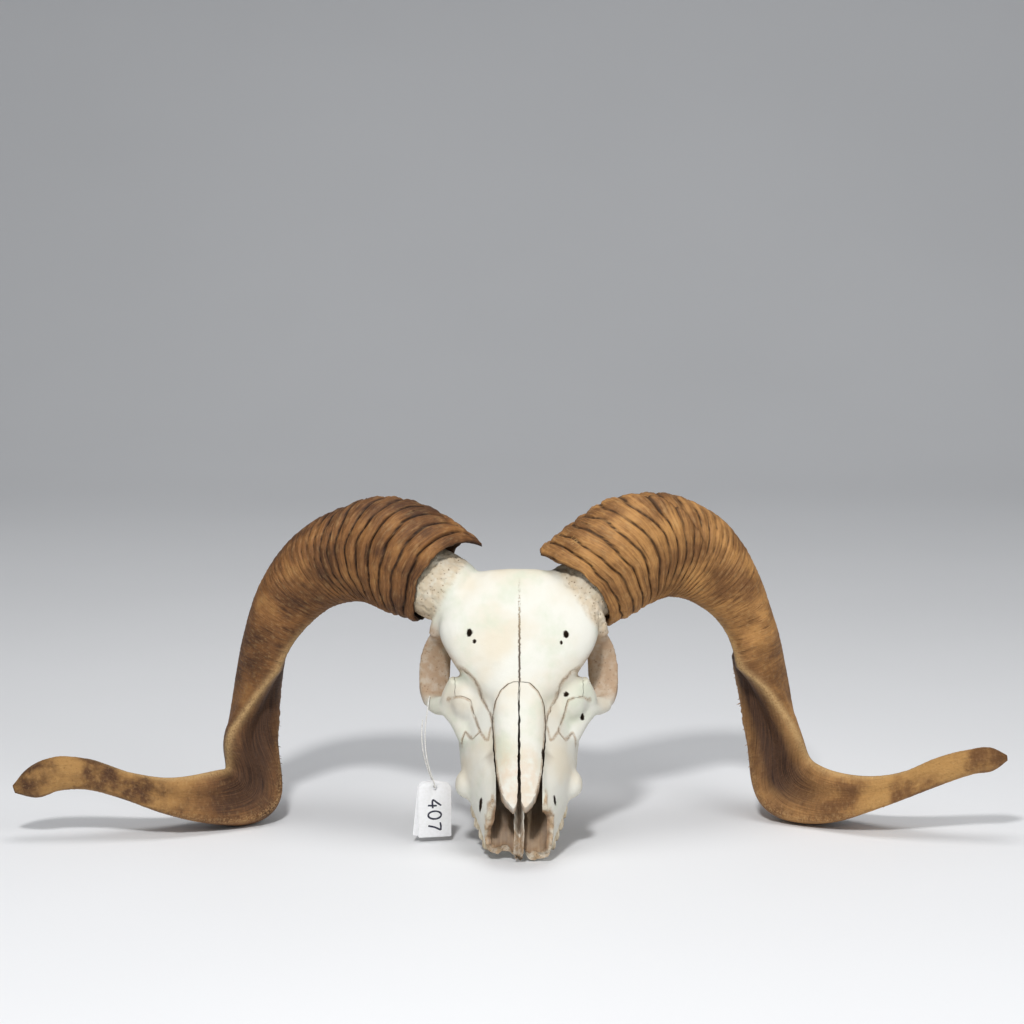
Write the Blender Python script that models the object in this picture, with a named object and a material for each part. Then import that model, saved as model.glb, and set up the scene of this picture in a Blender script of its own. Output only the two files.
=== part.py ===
"""A ram's skull with both horn sheaths, life size, resting nose down on a floor.

The skull is shaped in its own frame, in millimetres: x to the side, y back from the
broken muzzle and z up from the chewing surface of the teeth. It is then tipped nose
down. The horns and the tags are placed in the resting frame, where x is to the side,
y is back and z is up from the floor. Everything is in metres at the end.
"""
import math

import bmesh
import bpy
import numpy as np
from mathutils import Matrix, Vector

MM = 0.001

# How the skull rests
NOSE_DOWN_DEG = 41.5
ORIGIN_SHIFT = (6.0, -50.5, 0.0)
JOINT_GAP = 0.3

# Fineness of the faceted bone
FUSE_GRAIN = 2.6
FINE_GRAIN = 2.0
SKULL_KEEP = 0.068
RING_SIDES = 32

# The muzzle is broken off ahead of the first cheek teeth
BREAK_LOW = (-12.5, 2.0)
BREAK_HIGH = (22.0, 68.0)

# Nasal bones: the pair lies on the bridge of the nose
NASAL_LENGTH = 75.2
NASAL_FRONT = 0.5
NASAL_HALF_WIDTH = 15.6
NASAL_SLOPE = 0.41
NASAL_UNDERSIDE = 38.5
NASAL_ROUND = 17.0
ROOM_AHEAD = 18.0

# The nose's hollow, seen through the broken muzzle
HOLLOW_FLOOR = ((-24.0, 11.5), (10.0, 14.5), (38.0, 16.5), (62.0, 22.5))
WALL = 3.6
SEPTUM_THICK = 3.0
SEPTUM_TOP = 34.0

# Orbit: the eye socket of each side
ORBIT_CENTRE = (56.0, 103.0, 58.0)
ORBIT_RADII = (29.0, 20.5, 20.5)

# Cheek teeth of each side: length along the row and breadth, from front to back
TEETH = ((6.5, 6.5), (8.0, 8.0), (9.0, 10.0), (13.0, 12.0), (16.5, 12.5), (19.0, 12.0))
ROW_START = 5.0
ROW_FRONT_X = 20.5
ROW_SPREAD = 11.5
CROWN_HEIGHT = 15.0

# Horn sheaths: where each length ends, and how deep its mouth is hollow
BASE_END = 122.0
SIDE_END = 236.0
BEND_END = 318.0
MOUTH_DEPTH = 26.0
SHEATH_WALL = 4.5
CORE_DROP = 4.5
RIDGE_SPACING = 8.5
RIDGE_HEIGHT = 1.3
RIDGED_LENGTH = 119.0
HORN_SIDES = 16

# Stations down each horn: centre x, y, z, half the face seen from the front, half the
# thickness, then where the keel stands (degrees from the outer side of the curl towards
# the front) and how sharp it is
LEFT_HORN = {
    "mouth": (-45.6, 56, 170.3, 32.7, 25, 180, 0.03),
    "burr": (-61.4, 60, 178.9, 35.3, 27, 180, 0.03),
    "rise": (-83.2, 68, 186.1, 37.0, 28.5, 180, 0.03),
    "crown": (-102.8, 80, 184.7, 33.3, 29, 178, 0.04),
    "turn": (-127.4, 92, 175.2, 28.4, 28.5, 172, 0.06),
    "shoulder": (-150.9, 102, 154.5, 22.1, 28, 160, 0.09),
    "side_top": (-167.8, 108, 124.7, 16.4, 27, 138, 0.12),
    "side": (-176.4, 110, 89.2, 15.7, 25, 100, 0.13),
    "side_low": (-179.8, 104, 54.7, 18.0, 22, 55, 0.13),
    "bend": (-183.1, 90, 19.2, 22.6, 18, 20, 0.12),
    "run_in": (-207.9, 70, 22.5, 16.8, 17, 5, 0.11),
    "run": (-231.8, 58, 26.3, 11.7, 15, 0, 0.1),
    "neck": (-257.1, 50, 35.0, 8.9, 12.5, 0, 0.08),
    "blade": (-285.0, 44, 44.3, 10.4, 9, 0, 0.06),
    "broad": (-303.1, 42, 44.4, 11.5, 7.5, 0, 0.03),
    "end": (-320.1, 41, 38.0, 9.6, 6, 0, 0.0),
    "tip": (-330.5, 40, 34.9, 2.7, 2.5, 0, 0.0),
}
RIGHT_HORN = {
    "mouth": (35.3, 56, 167.0, 32.4, 25, 180, 0.03),
    "burr": (51.7, 60, 176.2, 35.3, 27, 180, 0.03),
    "rise": (71.6, 68, 187.4, 36.6, 28.5, 180, 0.03),
    "crown": (91.8, 80, 189.4, 35.0, 29, 178, 0.04),
    "turn": (115.0, 92, 182.0, 30.9, 28.5, 172, 0.06),
    "shoulder": (139.8, 102, 159.9, 21.8, 28, 160, 0.09),
    "side_top": (153.9, 108, 134.3, 16.7, 27, 138, 0.12),
    "side": (164.0, 110, 95.4, 17.6, 25, 100, 0.13),
    "side_low": (171.1, 108, 56.6, 18.3, 22, 55, 0.13),
    "bend": (183.5, 98, 22.0, 23.3, 18, 20, 0.12),
    "run_in": (209.1, 78, 21.2, 17.9, 17, 5, 0.11),
    "run": (231.3, 63, 26.7, 11.5, 15, 0, 0.1),
    "neck": (256.3, 53, 35.6, 8.0, 12.5, 0, 0.08),
    "blade": (276.2, 46, 45.5, 8.6, 9, 0, 0.06),
    "broad": (295.2, 42, 52.2, 8.0, 7.5, 0, 0.03),
    "end": (311.1, 40, 55.0, 7.0, 6, 0, 0.0),
    "tip": (319.0, 40, 55.7, 2.0, 2, 0, 0.0),
}

# Card tags on a cotton string, from the lower rim of the left orbit
TAG_SIZE = (22.0, 38.0, 0.6)
TAG_SHOULDER = 5.0
TAG_HOLE = 1.7
TAG_HOLE_DROP = 5.0
TAG_HOLE_PLACE = (-55.0, 36.5, 36.5)
TAG_TURN_DEG = 12.0
TAG_STEP = 2.2
TAG_SWING_DEG = {"tag_front": 0.0, "tag_back": 6.0}
STRING_THICK = 0.9
STRING_ROUTE = (
    (-58.0, 37.6, 97.2),
    (-58.4, 33.0, 96.4),
    (-59.2, 30.2, 91.0),
    (-60.4, 30.4, 82.0),
    (-61.0, 31.4, 70.0),
    (-60.0, 32.4, 58.0),
    (-57.4, 33.2, 47.0),
    (-55.2, 33.6, 40.2),
    (-54.7, 34.6, 37.2),
    (-55.0, 36.5, 36.5),
    (-55.4, 38.4, 36.5),
    (-55.9, 40.4, 37.6),
    (-58.6, 41.2, 45.0),
    (-61.2, 40.4, 54.0),
    (-63.0, 39.6, 64.0),
    (-63.4, 40.2, 74.0),
    (-62.8, 42.4, 81.0),
)
STRING_POINTS = 44


def clear_scene():
    for old in list(bpy.data.objects):
        bpy.data.objects.remove(old, do_unlink=True)


def material(name, colour, roughness):
    shade = bpy.data.materials.new(name)
    shade.use_nodes = True
    shader = shade.node_tree.nodes["Principled BSDF"]
    shader.inputs["Base Color"].default_value = (*colour, 1.0)
    shader.inputs["Roughness"].default_value = roughness
    shader.inputs["Metallic"].default_value = 0.0
    return shade


def read_smoothly(stations, positions, knots):
    """Values at some positions along a smooth curve through the stations."""
    table = np.array(stations, dtype=float)
    slopes = np.gradient(table, knots, axis=0)
    left = np.clip(np.searchsorted(knots, positions, side="right") - 1, 0, len(knots) - 2)
    span = (knots[left + 1] - knots[left])[:, None]
    t = (positions - knots[left])[:, None] / span
    start = table[left] * (2 * t**3 - 3 * t**2 + 1) + slopes[left] * span * (t**3 - 2 * t**2 + t)
    end = table[left + 1] * (3 * t**2 - 2 * t**3) + slopes[left + 1] * span * (t**3 - t**2)
    return start + end


def solid_from_rings(name, rings):
    """A closed solid from rings of equal size, with a flat cap at each end."""
    size = len(rings[0])
    points = np.concatenate(rings) * MM
    faces = [tuple(range(size)), tuple(range(len(points) - size, len(points)))]
    for row in range(len(rings) - 1):
        for side in range(size):
            after = (side + 1) % size
            low, high = row * size, (row + 1) * size
            faces.append((low + side, low + after, high + after, high + side))
    mesh = bpy.data.meshes.new(name)
    mesh.from_pydata(points.tolist(), [], faces)
    face_outwards(mesh)
    solid = bpy.data.objects.new(name, mesh)
    bpy.context.scene.collection.objects.link(solid)
    return solid


def face_outwards(mesh):
    shape = bmesh.new()
    shape.from_mesh(mesh)
    bmesh.ops.recalc_face_normals(shape, faces=shape.faces)
    shape.to_mesh(mesh)
    shape.free()


def loft(name, stations, count=24, sides=RING_SIDES):
    """A body along y. Each station gives y, half width, bottom, widest level, top,
    and how square its lower and upper halves are."""
    table = np.array(stations, dtype=float)
    positions = np.linspace(table[0, 0], table[-1, 0], count)
    turn = np.linspace(0.0, 2 * math.pi, sides, endpoint=False)
    across, up = np.cos(turn), np.sin(turn)
    rings = []
    for y, width, low, middle, high, low_power, high_power in read_smoothly(table, positions, table[:, 0]):
        power = 2.0 / np.where(up >= 0, high_power, low_power)
        reach = np.where(up >= 0, high - middle, middle - low)
        x = width * np.sign(across) * np.abs(across) ** power
        z = middle + reach * np.sign(up) * np.abs(up) ** power
        rings.append(np.stack([x, np.full(sides, y), z], axis=1))
    return solid_from_rings(name, rings)


def limb(name, stations, flat_side=(0.0, 0.0, 1.0), count=18, sides=16):
    """A bent bar through stations of x, y, z, then half its size along and across
    the flat side's direction."""
    table = np.array(stations, dtype=float)
    steps = np.linalg.norm(np.diff(table[:, :3], axis=0), axis=1)
    knots = np.concatenate([[0.0], np.cumsum(steps)])
    rows = read_smoothly(table, np.linspace(0.0, knots[-1], count), knots)
    turn = np.linspace(0.0, 2 * math.pi, sides, endpoint=False)
    ahead = np.gradient(rows[:, :3], axis=0)
    rings = []
    for row, direction in zip(rows, ahead):
        direction = direction / np.linalg.norm(direction)
        along = np.array(flat_side) - direction * np.dot(flat_side, direction)
        along = along / np.linalg.norm(along)
        across = np.cross(direction, along)
        spread = np.outer(np.cos(turn) * row[3], along) + np.outer(np.sin(turn) * row[4], across)
        rings.append(row[:3] + spread)
    return solid_from_rings(name, rings)


def ball(name, centre, radii, turn_x_deg=0.0):
    mesh = bpy.data.meshes.new(name)
    shape = bmesh.new()
    bmesh.ops.create_uvsphere(shape, u_segments=24, v_segments=14, radius=MM)
    turn = Matrix.Rotation(math.radians(turn_x_deg), 4, "X")
    place = Matrix.Translation(Vector(centre) * MM) @ turn @ Matrix.Diagonal((*radii, 1.0))
    bmesh.ops.transform(shape, matrix=place, verts=shape.verts)
    shape.to_mesh(mesh)
    shape.free()
    solid = bpy.data.objects.new(name, mesh)
    bpy.context.scene.collection.objects.link(solid)
    return solid


def prism(name, outline, along, start, end):
    """A flat outline drawn out along one axis, from start to end."""
    mesh = bpy.data.meshes.new(name)
    shape = bmesh.new()
    places = [axis for axis in range(3) if axis != along]
    corners = []
    for first, second in outline:
        point = [0.0, 0.0, 0.0]
        point[places[0]], point[places[1]], point[along] = first * MM, second * MM, start * MM
        corners.append(shape.verts.new(point))
    face = shape.faces.new(corners)
    drawn = bmesh.ops.extrude_face_region(shape, geom=[face])["geom"]
    shift = [0.0, 0.0, 0.0]
    shift[along] = (end - start) * MM
    bmesh.ops.translate(shape, vec=shift, verts=[v for v in drawn if isinstance(v, bmesh.types.BMVert)])
    bmesh.ops.recalc_face_normals(shape, faces=shape.faces)
    shape.to_mesh(mesh)
    shape.free()
    solid = bpy.data.objects.new(name, mesh)
    bpy.context.scene.collection.objects.link(solid)
    return solid


def copy_of(solid, name):
    twin = solid.copy()
    twin.data = solid.data.copy()
    twin.name = name
    bpy.context.scene.collection.objects.link(twin)
    return twin


def mirrored(solid, name):
    twin = copy_of(solid, name)
    twin.data.transform(Matrix.Diagonal((-1.0, 1.0, 1.0, 1.0)))
    twin.data.flip_normals()
    return twin


def remove(*solids):
    for solid in solids:
        bpy.data.objects.remove(solid, do_unlink=True)


def apply_modifiers(solid):
    depsgraph = bpy.context.evaluated_depsgraph_get()
    finished = bpy.data.meshes.new_from_object(solid.evaluated_get(depsgraph))
    solid.modifiers.clear()
    solid.data = finished


def combine(solid, operation, others, solver="MANIFOLD"):
    """Apply one Boolean with each of the others, then remove them."""
    for other in others:
        step = solid.modifiers.new("combine", "BOOLEAN")
        step.operation = operation
        step.solver = solver
        step.object = other
        apply_modifiers(solid)
        remove(other)


def fuse(name, solids, grain, rounds):
    """Melt overlapping solids into one skin and round off the creases between them."""
    mesh = bpy.data.meshes.new(name)
    shape = bmesh.new()
    for solid in solids:
        shape.from_mesh(solid.data)
    shape.to_mesh(mesh)
    shape.free()
    fused = bpy.data.objects.new(name, mesh)
    bpy.context.scene.collection.objects.link(fused)
    skin = fused.modifiers.new("skin", "REMESH")
    skin.mode = "VOXEL"
    skin.voxel_size = grain * MM
    soften = fused.modifiers.new("soften", "SMOOTH")
    soften.factor = 0.5
    soften.iterations = rounds
    apply_modifiers(fused)
    remove(*solids)
    return fused


def thin_out(solid, keep):
    step = solid.modifiers.new("thin", "DECIMATE")
    step.ratio = keep
    apply_modifiers(solid)


def keep_largest(solid):
    shape = bmesh.new()
    shape.from_mesh(solid.data)
    waiting = set(shape.faces)
    groups = []
    while waiting:
        group = set()
        edge_of = [waiting.pop()]
        while edge_of:
            face = edge_of.pop()
            group.add(face)
            for edge in face.edges:
                for near in edge.link_faces:
                    if near in waiting:
                        waiting.discard(near)
                        edge_of.append(near)
        groups.append(group)
    largest = max(groups, key=len)
    scraps = [face for group in groups if group is not largest for face in group]
    bmesh.ops.delete(shape, geom=scraps, context="FACES")
    shape.to_mesh(solid.data)
    shape.free()


def skull_pose():
    return rest_pose() @ Matrix.Rotation(math.radians(NOSE_DOWN_DEG), 4, "X")


def rest_pose():
    return Matrix.Translation(Vector(ORIGIN_SHIFT) * MM)


def stand_on_floor(solid):
    """Flatten what dips below the floor, so that the part rests on small flats."""
    for vertex in solid.data.vertices:
        vertex.co.z = max(vertex.co.z, 0.0)


def both_sides(solids):
    return solids + [mirrored(solid, solid.name + "_twin") for solid in solids]


def face_pieces():
    """Upper jaw, with the bridge of the nose, the facial tubers and the lacrimals."""
    face = loft("face", (
        (-14, 18.5, 7.5, 16, 42, 2.6, 2.4),
        (10, 25, 9, 18, 54, 2.8, 2.4),
        (38, 35, 10, 26, 67, 3.0, 1.9),
        (62, 38.5, 11, 30, 77.5, 2.8, 1.8),
        (80, 39, 13, 34, 85, 2.5, 1.8),
        (95, 33, 18, 42, 91, 2.2, 2.0),
        (108, 26, 30, 52, 91, 2.0, 2.0),
    ))
    bridge = loft("bridge", (
        (-14, 15, 24, 35, 46.5, 2.0, 2.3),
        (10, 16, 34, 47, 59.5, 2.0, 2.3),
        (38, 16.5, 46, 60.5, 73, 2.0, 2.3),
        (62, 17, 56, 70.5, 82, 2.0, 2.3),
        (88, 17, 64, 80, 90.5, 2.0, 2.2),
        (104, 13, 70, 86, 96, 2.0, 2.0),
    ))
    tuber = ball("tuber", (35.5, 38.5, 27.0), (7.0, 9.5, 7.5))
    lacrimal = ball("lacrimal", (36.0, 86.0, 67.0), (10.0, 9.5, 13.0), 20.0)
    return [face, bridge] + both_sides([tuber, lacrimal])


def cranium_pieces():
    """Frontal plate, braincase, the keel below it, ear bulbs and neck condyles."""
    frontal = loft("frontal", (
        (72, 20, 64, 74, 84.5, 2.0, 2.0),
        (84, 33, 62, 77, 89.5, 2.0, 2.2),
        (98, 44, 64, 82, 95, 2.0, 2.5),
        (113, 51, 66, 86, 100.5, 2.0, 2.7),
        (128, 50, 67, 88, 104.5, 2.0, 2.8),
        (143, 45, 64, 88, 106, 2.0, 2.8),
        (154, 40, 62, 83, 103.5, 2.0, 2.6),
        (164, 30, 60, 75, 90, 2.0, 2.4),
    ))
    braincase = loft("braincase", (
        (110, 20, 30, 52, 84, 2.2, 2.2),
        (128, 27, 22, 53, 94, 2.3, 2.2),
        (145, 32.5, 19, 54, 97, 2.3, 2.2),
        (159, 35, 19, 53, 88, 2.3, 2.2),
        (171, 34.5, 20, 50, 80, 2.4, 2.2),
        (182, 32, 23, 46, 65, 2.4, 2.3),
        (190, 27, 27, 42, 55, 2.4, 2.3),
        (196, 17, 31, 40, 49, 2.2, 2.0),
    ))
    between_orbits = loft("between_orbits", (
        (82, 26, 20, 48, 80, 2.4, 2.2),
        (100, 21, 24, 52, 86, 2.4, 2.2),
        (120, 21, 24, 54, 90, 2.4, 2.2),
    ), count=10)
    keel = loft("keel", (
        (72, 15, 11, 22, 40, 2.6, 2.2),
        (100, 13, 14, 26, 46, 2.6, 2.2),
        (130, 12, 19, 30, 50, 2.6, 2.2),
        (165, 13, 19, 30, 46, 2.6, 2.2),
        (190, 14, 23, 32, 42, 2.4, 2.2),
    ))
    ear_bulb = ball("ear_bulb", (23.0, 160.0, 20.0), (7.5, 11.0, 8.5))
    condyle = ball("condyle", (12.0, 193.5, 33.0), (8.0, 8.0, 10.0))
    jugular = limb("jugular", (
        (27, 179, 34, 7, 5), (28, 181, 22, 6, 4.5), (27, 182, 10, 4, 3),
    ), flat_side=(0.0, 1.0, 0.0), count=8)
    nape = limb("nape", ((-30, 176, 45, 4, 5), (-20, 184, 54, 4, 5), (0, 187, 56, 4, 5),
                         (20, 184, 54, 4, 5), (30, 176, 45, 4, 5)))
    return [frontal, braincase, between_orbits, keel, nape] + both_sides([ear_bulb, condyle, jugular])


def cheek_pieces():
    """Cheek bone, the orbit's lower rim, the bar behind the eye and the arch."""
    cheek = limb("cheek", (
        (32, 61.5, 45, 7.5, 7), (41, 75, 50.5, 6, 6), (49, 85, 49, 5, 5.5), (55.5, 91.5, 43, 4.5, 4.5),
        (60, 98, 41, 5, 4),
    ))
    rim = limb("rim", (
        (38, 88, 70, 5, 5), (40, 81, 59, 5, 6), (44, 80, 52, 5, 5.5), (51, 84.5, 47, 5, 5),
        (57, 90.5, 42, 4.5, 4.5),
    ))
    eye_bar = limb("eye_bar", (
        (42, 123, 81, 11, 5), (48, 126, 71, 10.5, 3.4), (53, 122, 59, 10.5, 3),
        (55, 112, 49, 10.5, 3), (55, 101, 43.5, 9.5, 3), (53, 92, 41.5, 8, 3.4),
    ), flat_side=(1.0, -0.35, 0.0))
    arch = limb("arch", (
        (59, 95, 39.6, 5.5, 3.4), (62, 107, 37.5, 5.5, 3), (60, 121, 38, 5.5, 3),
        (54, 134, 40.5, 5.5, 3), (45, 145, 44, 6, 3.6), (31, 152, 48, 8, 6),
    ))
    brow = limb("brow", (
        (36, 136, 95, 9, 7), (44, 132, 91, 8.5, 6.5), (49.5, 127.5, 83, 7.5, 5), (52, 123, 74, 7, 4),
    ), flat_side=(1.0, -0.35, 0.0))
    return both_sides([cheek, rim, eye_bar, arch, brow])


def across_horn(direction, x):
    """Ways to the outer side of a horn's curl and to its front, square to its axis."""
    direction = direction / np.linalg.norm(direction)
    front = np.array([0.0, -1.0, 0.0])
    thick = front - direction * np.dot(front, direction)
    thick = thick / np.linalg.norm(thick)
    outward = np.cross(thick, direction) * (1.0 if x > 0 else -1.0)
    return outward, thick


def core_piece(name, horn):
    """The bony core that a horn sheath sits on, low in the sheath's mouth."""
    mouth, burr = (np.array(horn[key], dtype=float) for key in ("mouth", "burr"))
    ahead = burr[:3] - mouth[:3]
    low = -CORE_DROP * across_horn(ahead, mouth[0])[0]
    seat_face = mouth[3] - SHEATH_WALL - 2.2 - CORE_DROP
    inner_face = burr[3] - SHEATH_WALL - 5.0 - CORE_DROP
    depth = (MOUTH_DEPTH - 2.0) / np.linalg.norm(ahead)
    stations = []
    for back, half_face, half_thick in (
            (-1.15, 16.0, 17.0), (-0.45, 22.0, 20.5), (0.0, seat_face, mouth[4] - SHEATH_WALL - 1.8),
            (1.0, inner_face, burr[4] - SHEATH_WALL - 4.0), (depth, 16.5, 16.0)):
        stations.append(np.append(mouth[:3] + back * ahead + low, (half_face, half_thick, 180.0, 0.0)))
    core = sheath_rings(np.array(stations), 14, 24)
    solid = solid_from_rings(name, core)
    solid.data.transform(skull_pose().inverted() @ rest_pose())
    return solid


def keeled_section(sides, keel_deg, sharpness):
    """A rounded triangle with one corner at the keel, one unit to each side."""
    from_keel = np.linspace(0.0, 2 * math.pi, sides, endpoint=False)
    reach = 1.0 + sharpness * np.cos(3 * from_keel)
    turn = from_keel + math.radians(keel_deg)
    across, thick = reach * np.cos(turn), reach * np.sin(turn)
    across = (2 * across - across.max() - across.min()) / (across.max() - across.min())
    thick = (2 * thick - thick.max() - thick.min()) / (thick.max() - thick.min())
    return across, thick


def sheath_rings(table, count, sides, start=0.0, end=None, grow=None):
    """Rings across a horn, from its stations, with one face to the front."""
    steps = np.linalg.norm(np.diff(table[:, :3], axis=0), axis=1)
    knots = np.concatenate([[0.0], np.cumsum(steps)])
    end = knots[-1] if end is None else end
    places = np.linspace(start, end, count)
    rows = read_smoothly(table, places, knots)
    chords = np.diff(table[:, :3], axis=0) / steps[:, None]
    bisectors = np.concatenate([chords[:1], chords[:-1] + chords[1:], chords[-1:]])
    bisectors = bisectors / np.linalg.norm(bisectors, axis=1)[:, None]
    ahead = read_smoothly(bisectors, places, knots)
    rings = []
    for place, row, direction in zip(places, rows, ahead):
        outward, thick = across_horn(direction, row[0])
        across, deep = keeled_section(sides, row[5], row[6])
        extra = grow(place) if grow else 0.0
        spread = np.outer(across * (row[3] + extra), outward) + np.outer(deep * (row[4] + extra), thick)
        rings.append(row[:3] + spread)
    return rings


def ridge(place):
    """Height of the growth ridges at a distance from the horn's mouth."""
    fade = max(0.0, 1.0 - place / RIDGED_LENGTH)
    return RIDGE_HEIGHT * math.sin(2 * math.pi * place / RIDGE_SPACING) * fade**0.5


def horn_length(horn):
    table = np.array(list(horn.values()), dtype=float)
    return float(np.sum(np.linalg.norm(np.diff(table[:, :3], axis=0), axis=1)))


def mouth_hollow(table, margin):
    """Rings of the pocket in a sheath's mouth, from its floor out to the rim."""
    inner = table.copy()
    inner[:, 3:5] -= SHEATH_WALL + margin
    return sheath_rings(inner, 4, HORN_SIDES, -margin, MOUTH_DEPTH - margin)[::-1]


def sheath_room(name, horn):
    """The space that a sheath's mouth takes, with the gap that the bone keeps to it."""
    table = np.array(list(horn.values()), dtype=float)
    grown = table.copy()
    grown[:, 3:5] += JOINT_GAP + RIDGE_HEIGHT
    outer = sheath_rings(grown, 12, HORN_SIDES, -JOINT_GAP, 60.0)
    room = solid_from_rings(name, mouth_hollow(table, JOINT_GAP) + outer)
    room.data.transform(skull_pose().inverted() @ rest_pose())
    return room


def build_horn(side, horn, shade):
    """The sheath in four lengths: the base with its hollow mouth, side, bend and tip."""
    table = np.array(list(horn.values()), dtype=float)
    whole = horn_length(horn)
    base_rings = sheath_rings(table, 42, HORN_SIDES, 0.0, BASE_END, ridge)
    lengths = {
        "base": mouth_hollow(table, 0.0) + base_rings,
        "side": sheath_rings(table, 14, HORN_SIDES, BASE_END, SIDE_END),
        "bend": sheath_rings(table, 12, HORN_SIDES, SIDE_END, BEND_END),
        "tip": sheath_rings(table, 18, HORN_SIDES, BEND_END, whole),
    }
    for name, rings in lengths.items():
        if name != "base":
            ahead = np.mean(rings[1] - rings[0], axis=0)
            rings[0] = rings[0] + JOINT_GAP * ahead / np.linalg.norm(ahead)
        solid = solid_from_rings(f"horn_{side}_{name}", rings)
        solid.data.transform(rest_pose())
        stand_on_floor(solid)
        finish(solid, shade)


def finish(solid, shade):
    solid.data.materials.clear()
    solid.data.materials.append(shade)
    solid.data.shade_smooth()
    solid.data.set_sharp_from_angle(angle=math.radians(50.0))


def build_bone_mass():
    """The whole skull in one skin, before it is parted into its bones."""
    pieces = face_pieces() + cranium_pieces() + cheek_pieces()
    pieces += [core_piece("core_left", LEFT_HORN), core_piece("core_right", RIGHT_HORN)]
    bone = fuse("bone", pieces, FUSE_GRAIN, 3)
    sockets = both_sides([ball("socket", ORBIT_CENTRE, ORBIT_RADII)])
    temples = both_sides([ball("temple", (50.0, 137.0, 55.0), (17.0, 14.0, 22.0))])
    vault = ball("vault", (0.0, 34.0, 4.0), (19.5, 54.0, 9.0))
    throat = ball("throat", (0.0, 98.0, 18.0), (8.5, 24.0, 13.0))
    neck_hole = ball("neck_hole", (0.0, 199.0, 45.0), (9.0, 12.0, 8.5))
    combine(bone, "DIFFERENCE", sockets + temples + [vault, throat, neck_hole])
    bone = fuse("bone", [bone] + cheek_pieces(), FINE_GRAIN, 2)
    thin_out(bone, SKULL_KEEP)
    keep_largest(bone)
    return bone


def hollow_the_nose(bone):
    """Clear the space under the bridge of the nose, back from the broken muzzle."""
    inside = ((18 - WALL, 20, 38 - WALL), (24.5 - WALL, 22, 57 - WALL), (32.5 - WALL, 28, 70 - WALL),
              (22, 32, 68))
    stations = [(y, wide, floor, middle, top, 3.0, 1.9)
                for (y, floor), (wide, middle, top) in zip(HOLLOW_FLOOR, inside)]
    hollow = loft("hollow", stations, count=10, sides=20)
    combine(bone, "DIFFERENCE", [hollow])


def break_muzzle(face):
    """Break off the front of the jaw along a slanted line, with a notch between."""
    far = -60.0
    ahead = prism("ahead", ((far, -30), (BREAK_LOW[0], -30), BREAK_LOW, BREAK_HIGH, (BREAK_HIGH[0], 120),
                            (far, 120)), 0, -60, 60)
    notch = prism("notch", ((-2.0, far), (2.6, far), (2.0, 2.0), (0.2, 7.0), (-1.4, 1.0)), 2, -20, 24)
    combine(face, "DIFFERENCE", [ahead, notch])


def tooth(name, centre_y, length, breadth, centre_x):
    """One cheek tooth: two lobes, wider at the root than at the crown."""
    sides = 12
    turn = np.linspace(0.0, 2 * math.pi, sides, endpoint=False)
    lobes = 1.0 - 0.16 * np.cos(2 * turn) * (1.0 if length > 12 else 0.4)
    rings = []
    for height, size in ((0.0, 0.86), (1.2, 1.0), (CROWN_HEIGHT, 0.9)):
        x = centre_x + 0.5 * breadth * size * np.cos(turn) * lobes
        y = centre_y + 0.48 * length * size * np.sign(np.sin(turn)) * np.abs(np.sin(turn)) ** 0.7
        rings.append(np.stack([x, y, np.full(sides, height)], axis=1))
    return solid_from_rings(name, rings)


def tooth_row():
    """The six cheek teeth of each side, along a row that spreads backwards."""
    teeth = []
    place = ROW_START
    row_length = sum(length for length, breadth in TEETH)
    for number, (length, breadth) in enumerate(TEETH):
        centre_y = place + 0.5 * length
        centre_x = ROW_FRONT_X + ROW_SPREAD * math.sin(0.5 * math.pi * (place - ROW_START) / row_length)
        teeth.append(tooth(f"tooth_{number}", centre_y, length, breadth, centre_x))
        place += length
    return both_sides(teeth)


def join_teeth(face):
    row = bpy.data.collections.new("teeth")
    for piece in tooth_row():
        row.objects.link(piece)
    step = face.modifiers.new("teeth", "BOOLEAN")
    step.operation = "UNION"
    step.solver = "EXACT"
    step.operand_type = "COLLECTION"
    step.collection = row
    apply_modifiers(face)
    remove(*list(row.objects))
    keep_largest(face)


def nasal_outline(side, margin):
    """Seen from above: the nasal bone's pointed front, straight side and round back."""
    half = JOINT_GAP / 2 - margin
    wide = NASAL_HALF_WIDTH + margin
    front = NASAL_FRONT - (ROOM_AHEAD if margin else 0.0)
    back = NASAL_FRONT + NASAL_LENGTH + margin
    outline = [(half, front + 3.0), (3.0 + margin, front), (8.0 + margin, front + 8.0),
               (12.5 + margin, front + 18.0), (wide, front + 34.0)]
    for step in range(7):
        turn = 0.5 * math.pi * step / 6
        x = wide * math.cos(turn) + half * (1 - math.cos(turn))
        outline.append((x, back - NASAL_ROUND * (1 - math.sin(turn))))
    return [(side * x, y) for x, y in outline]


def nasal_block(name, side, margin):
    """The space a nasal bone takes, down to a slanted underside."""
    block = prism(name, nasal_outline(side, margin), 2, 0.0, 60.0)
    for vertex in block.data.vertices:
        if vertex.co.z < 30.0 * MM:
            vertex.co.z = (NASAL_UNDERSIDE - margin) * MM + NASAL_SLOPE * vertex.co.y
        else:
            vertex.co.z = 60.0 * MM + NASAL_SLOPE * vertex.co.y
    return block


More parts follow.
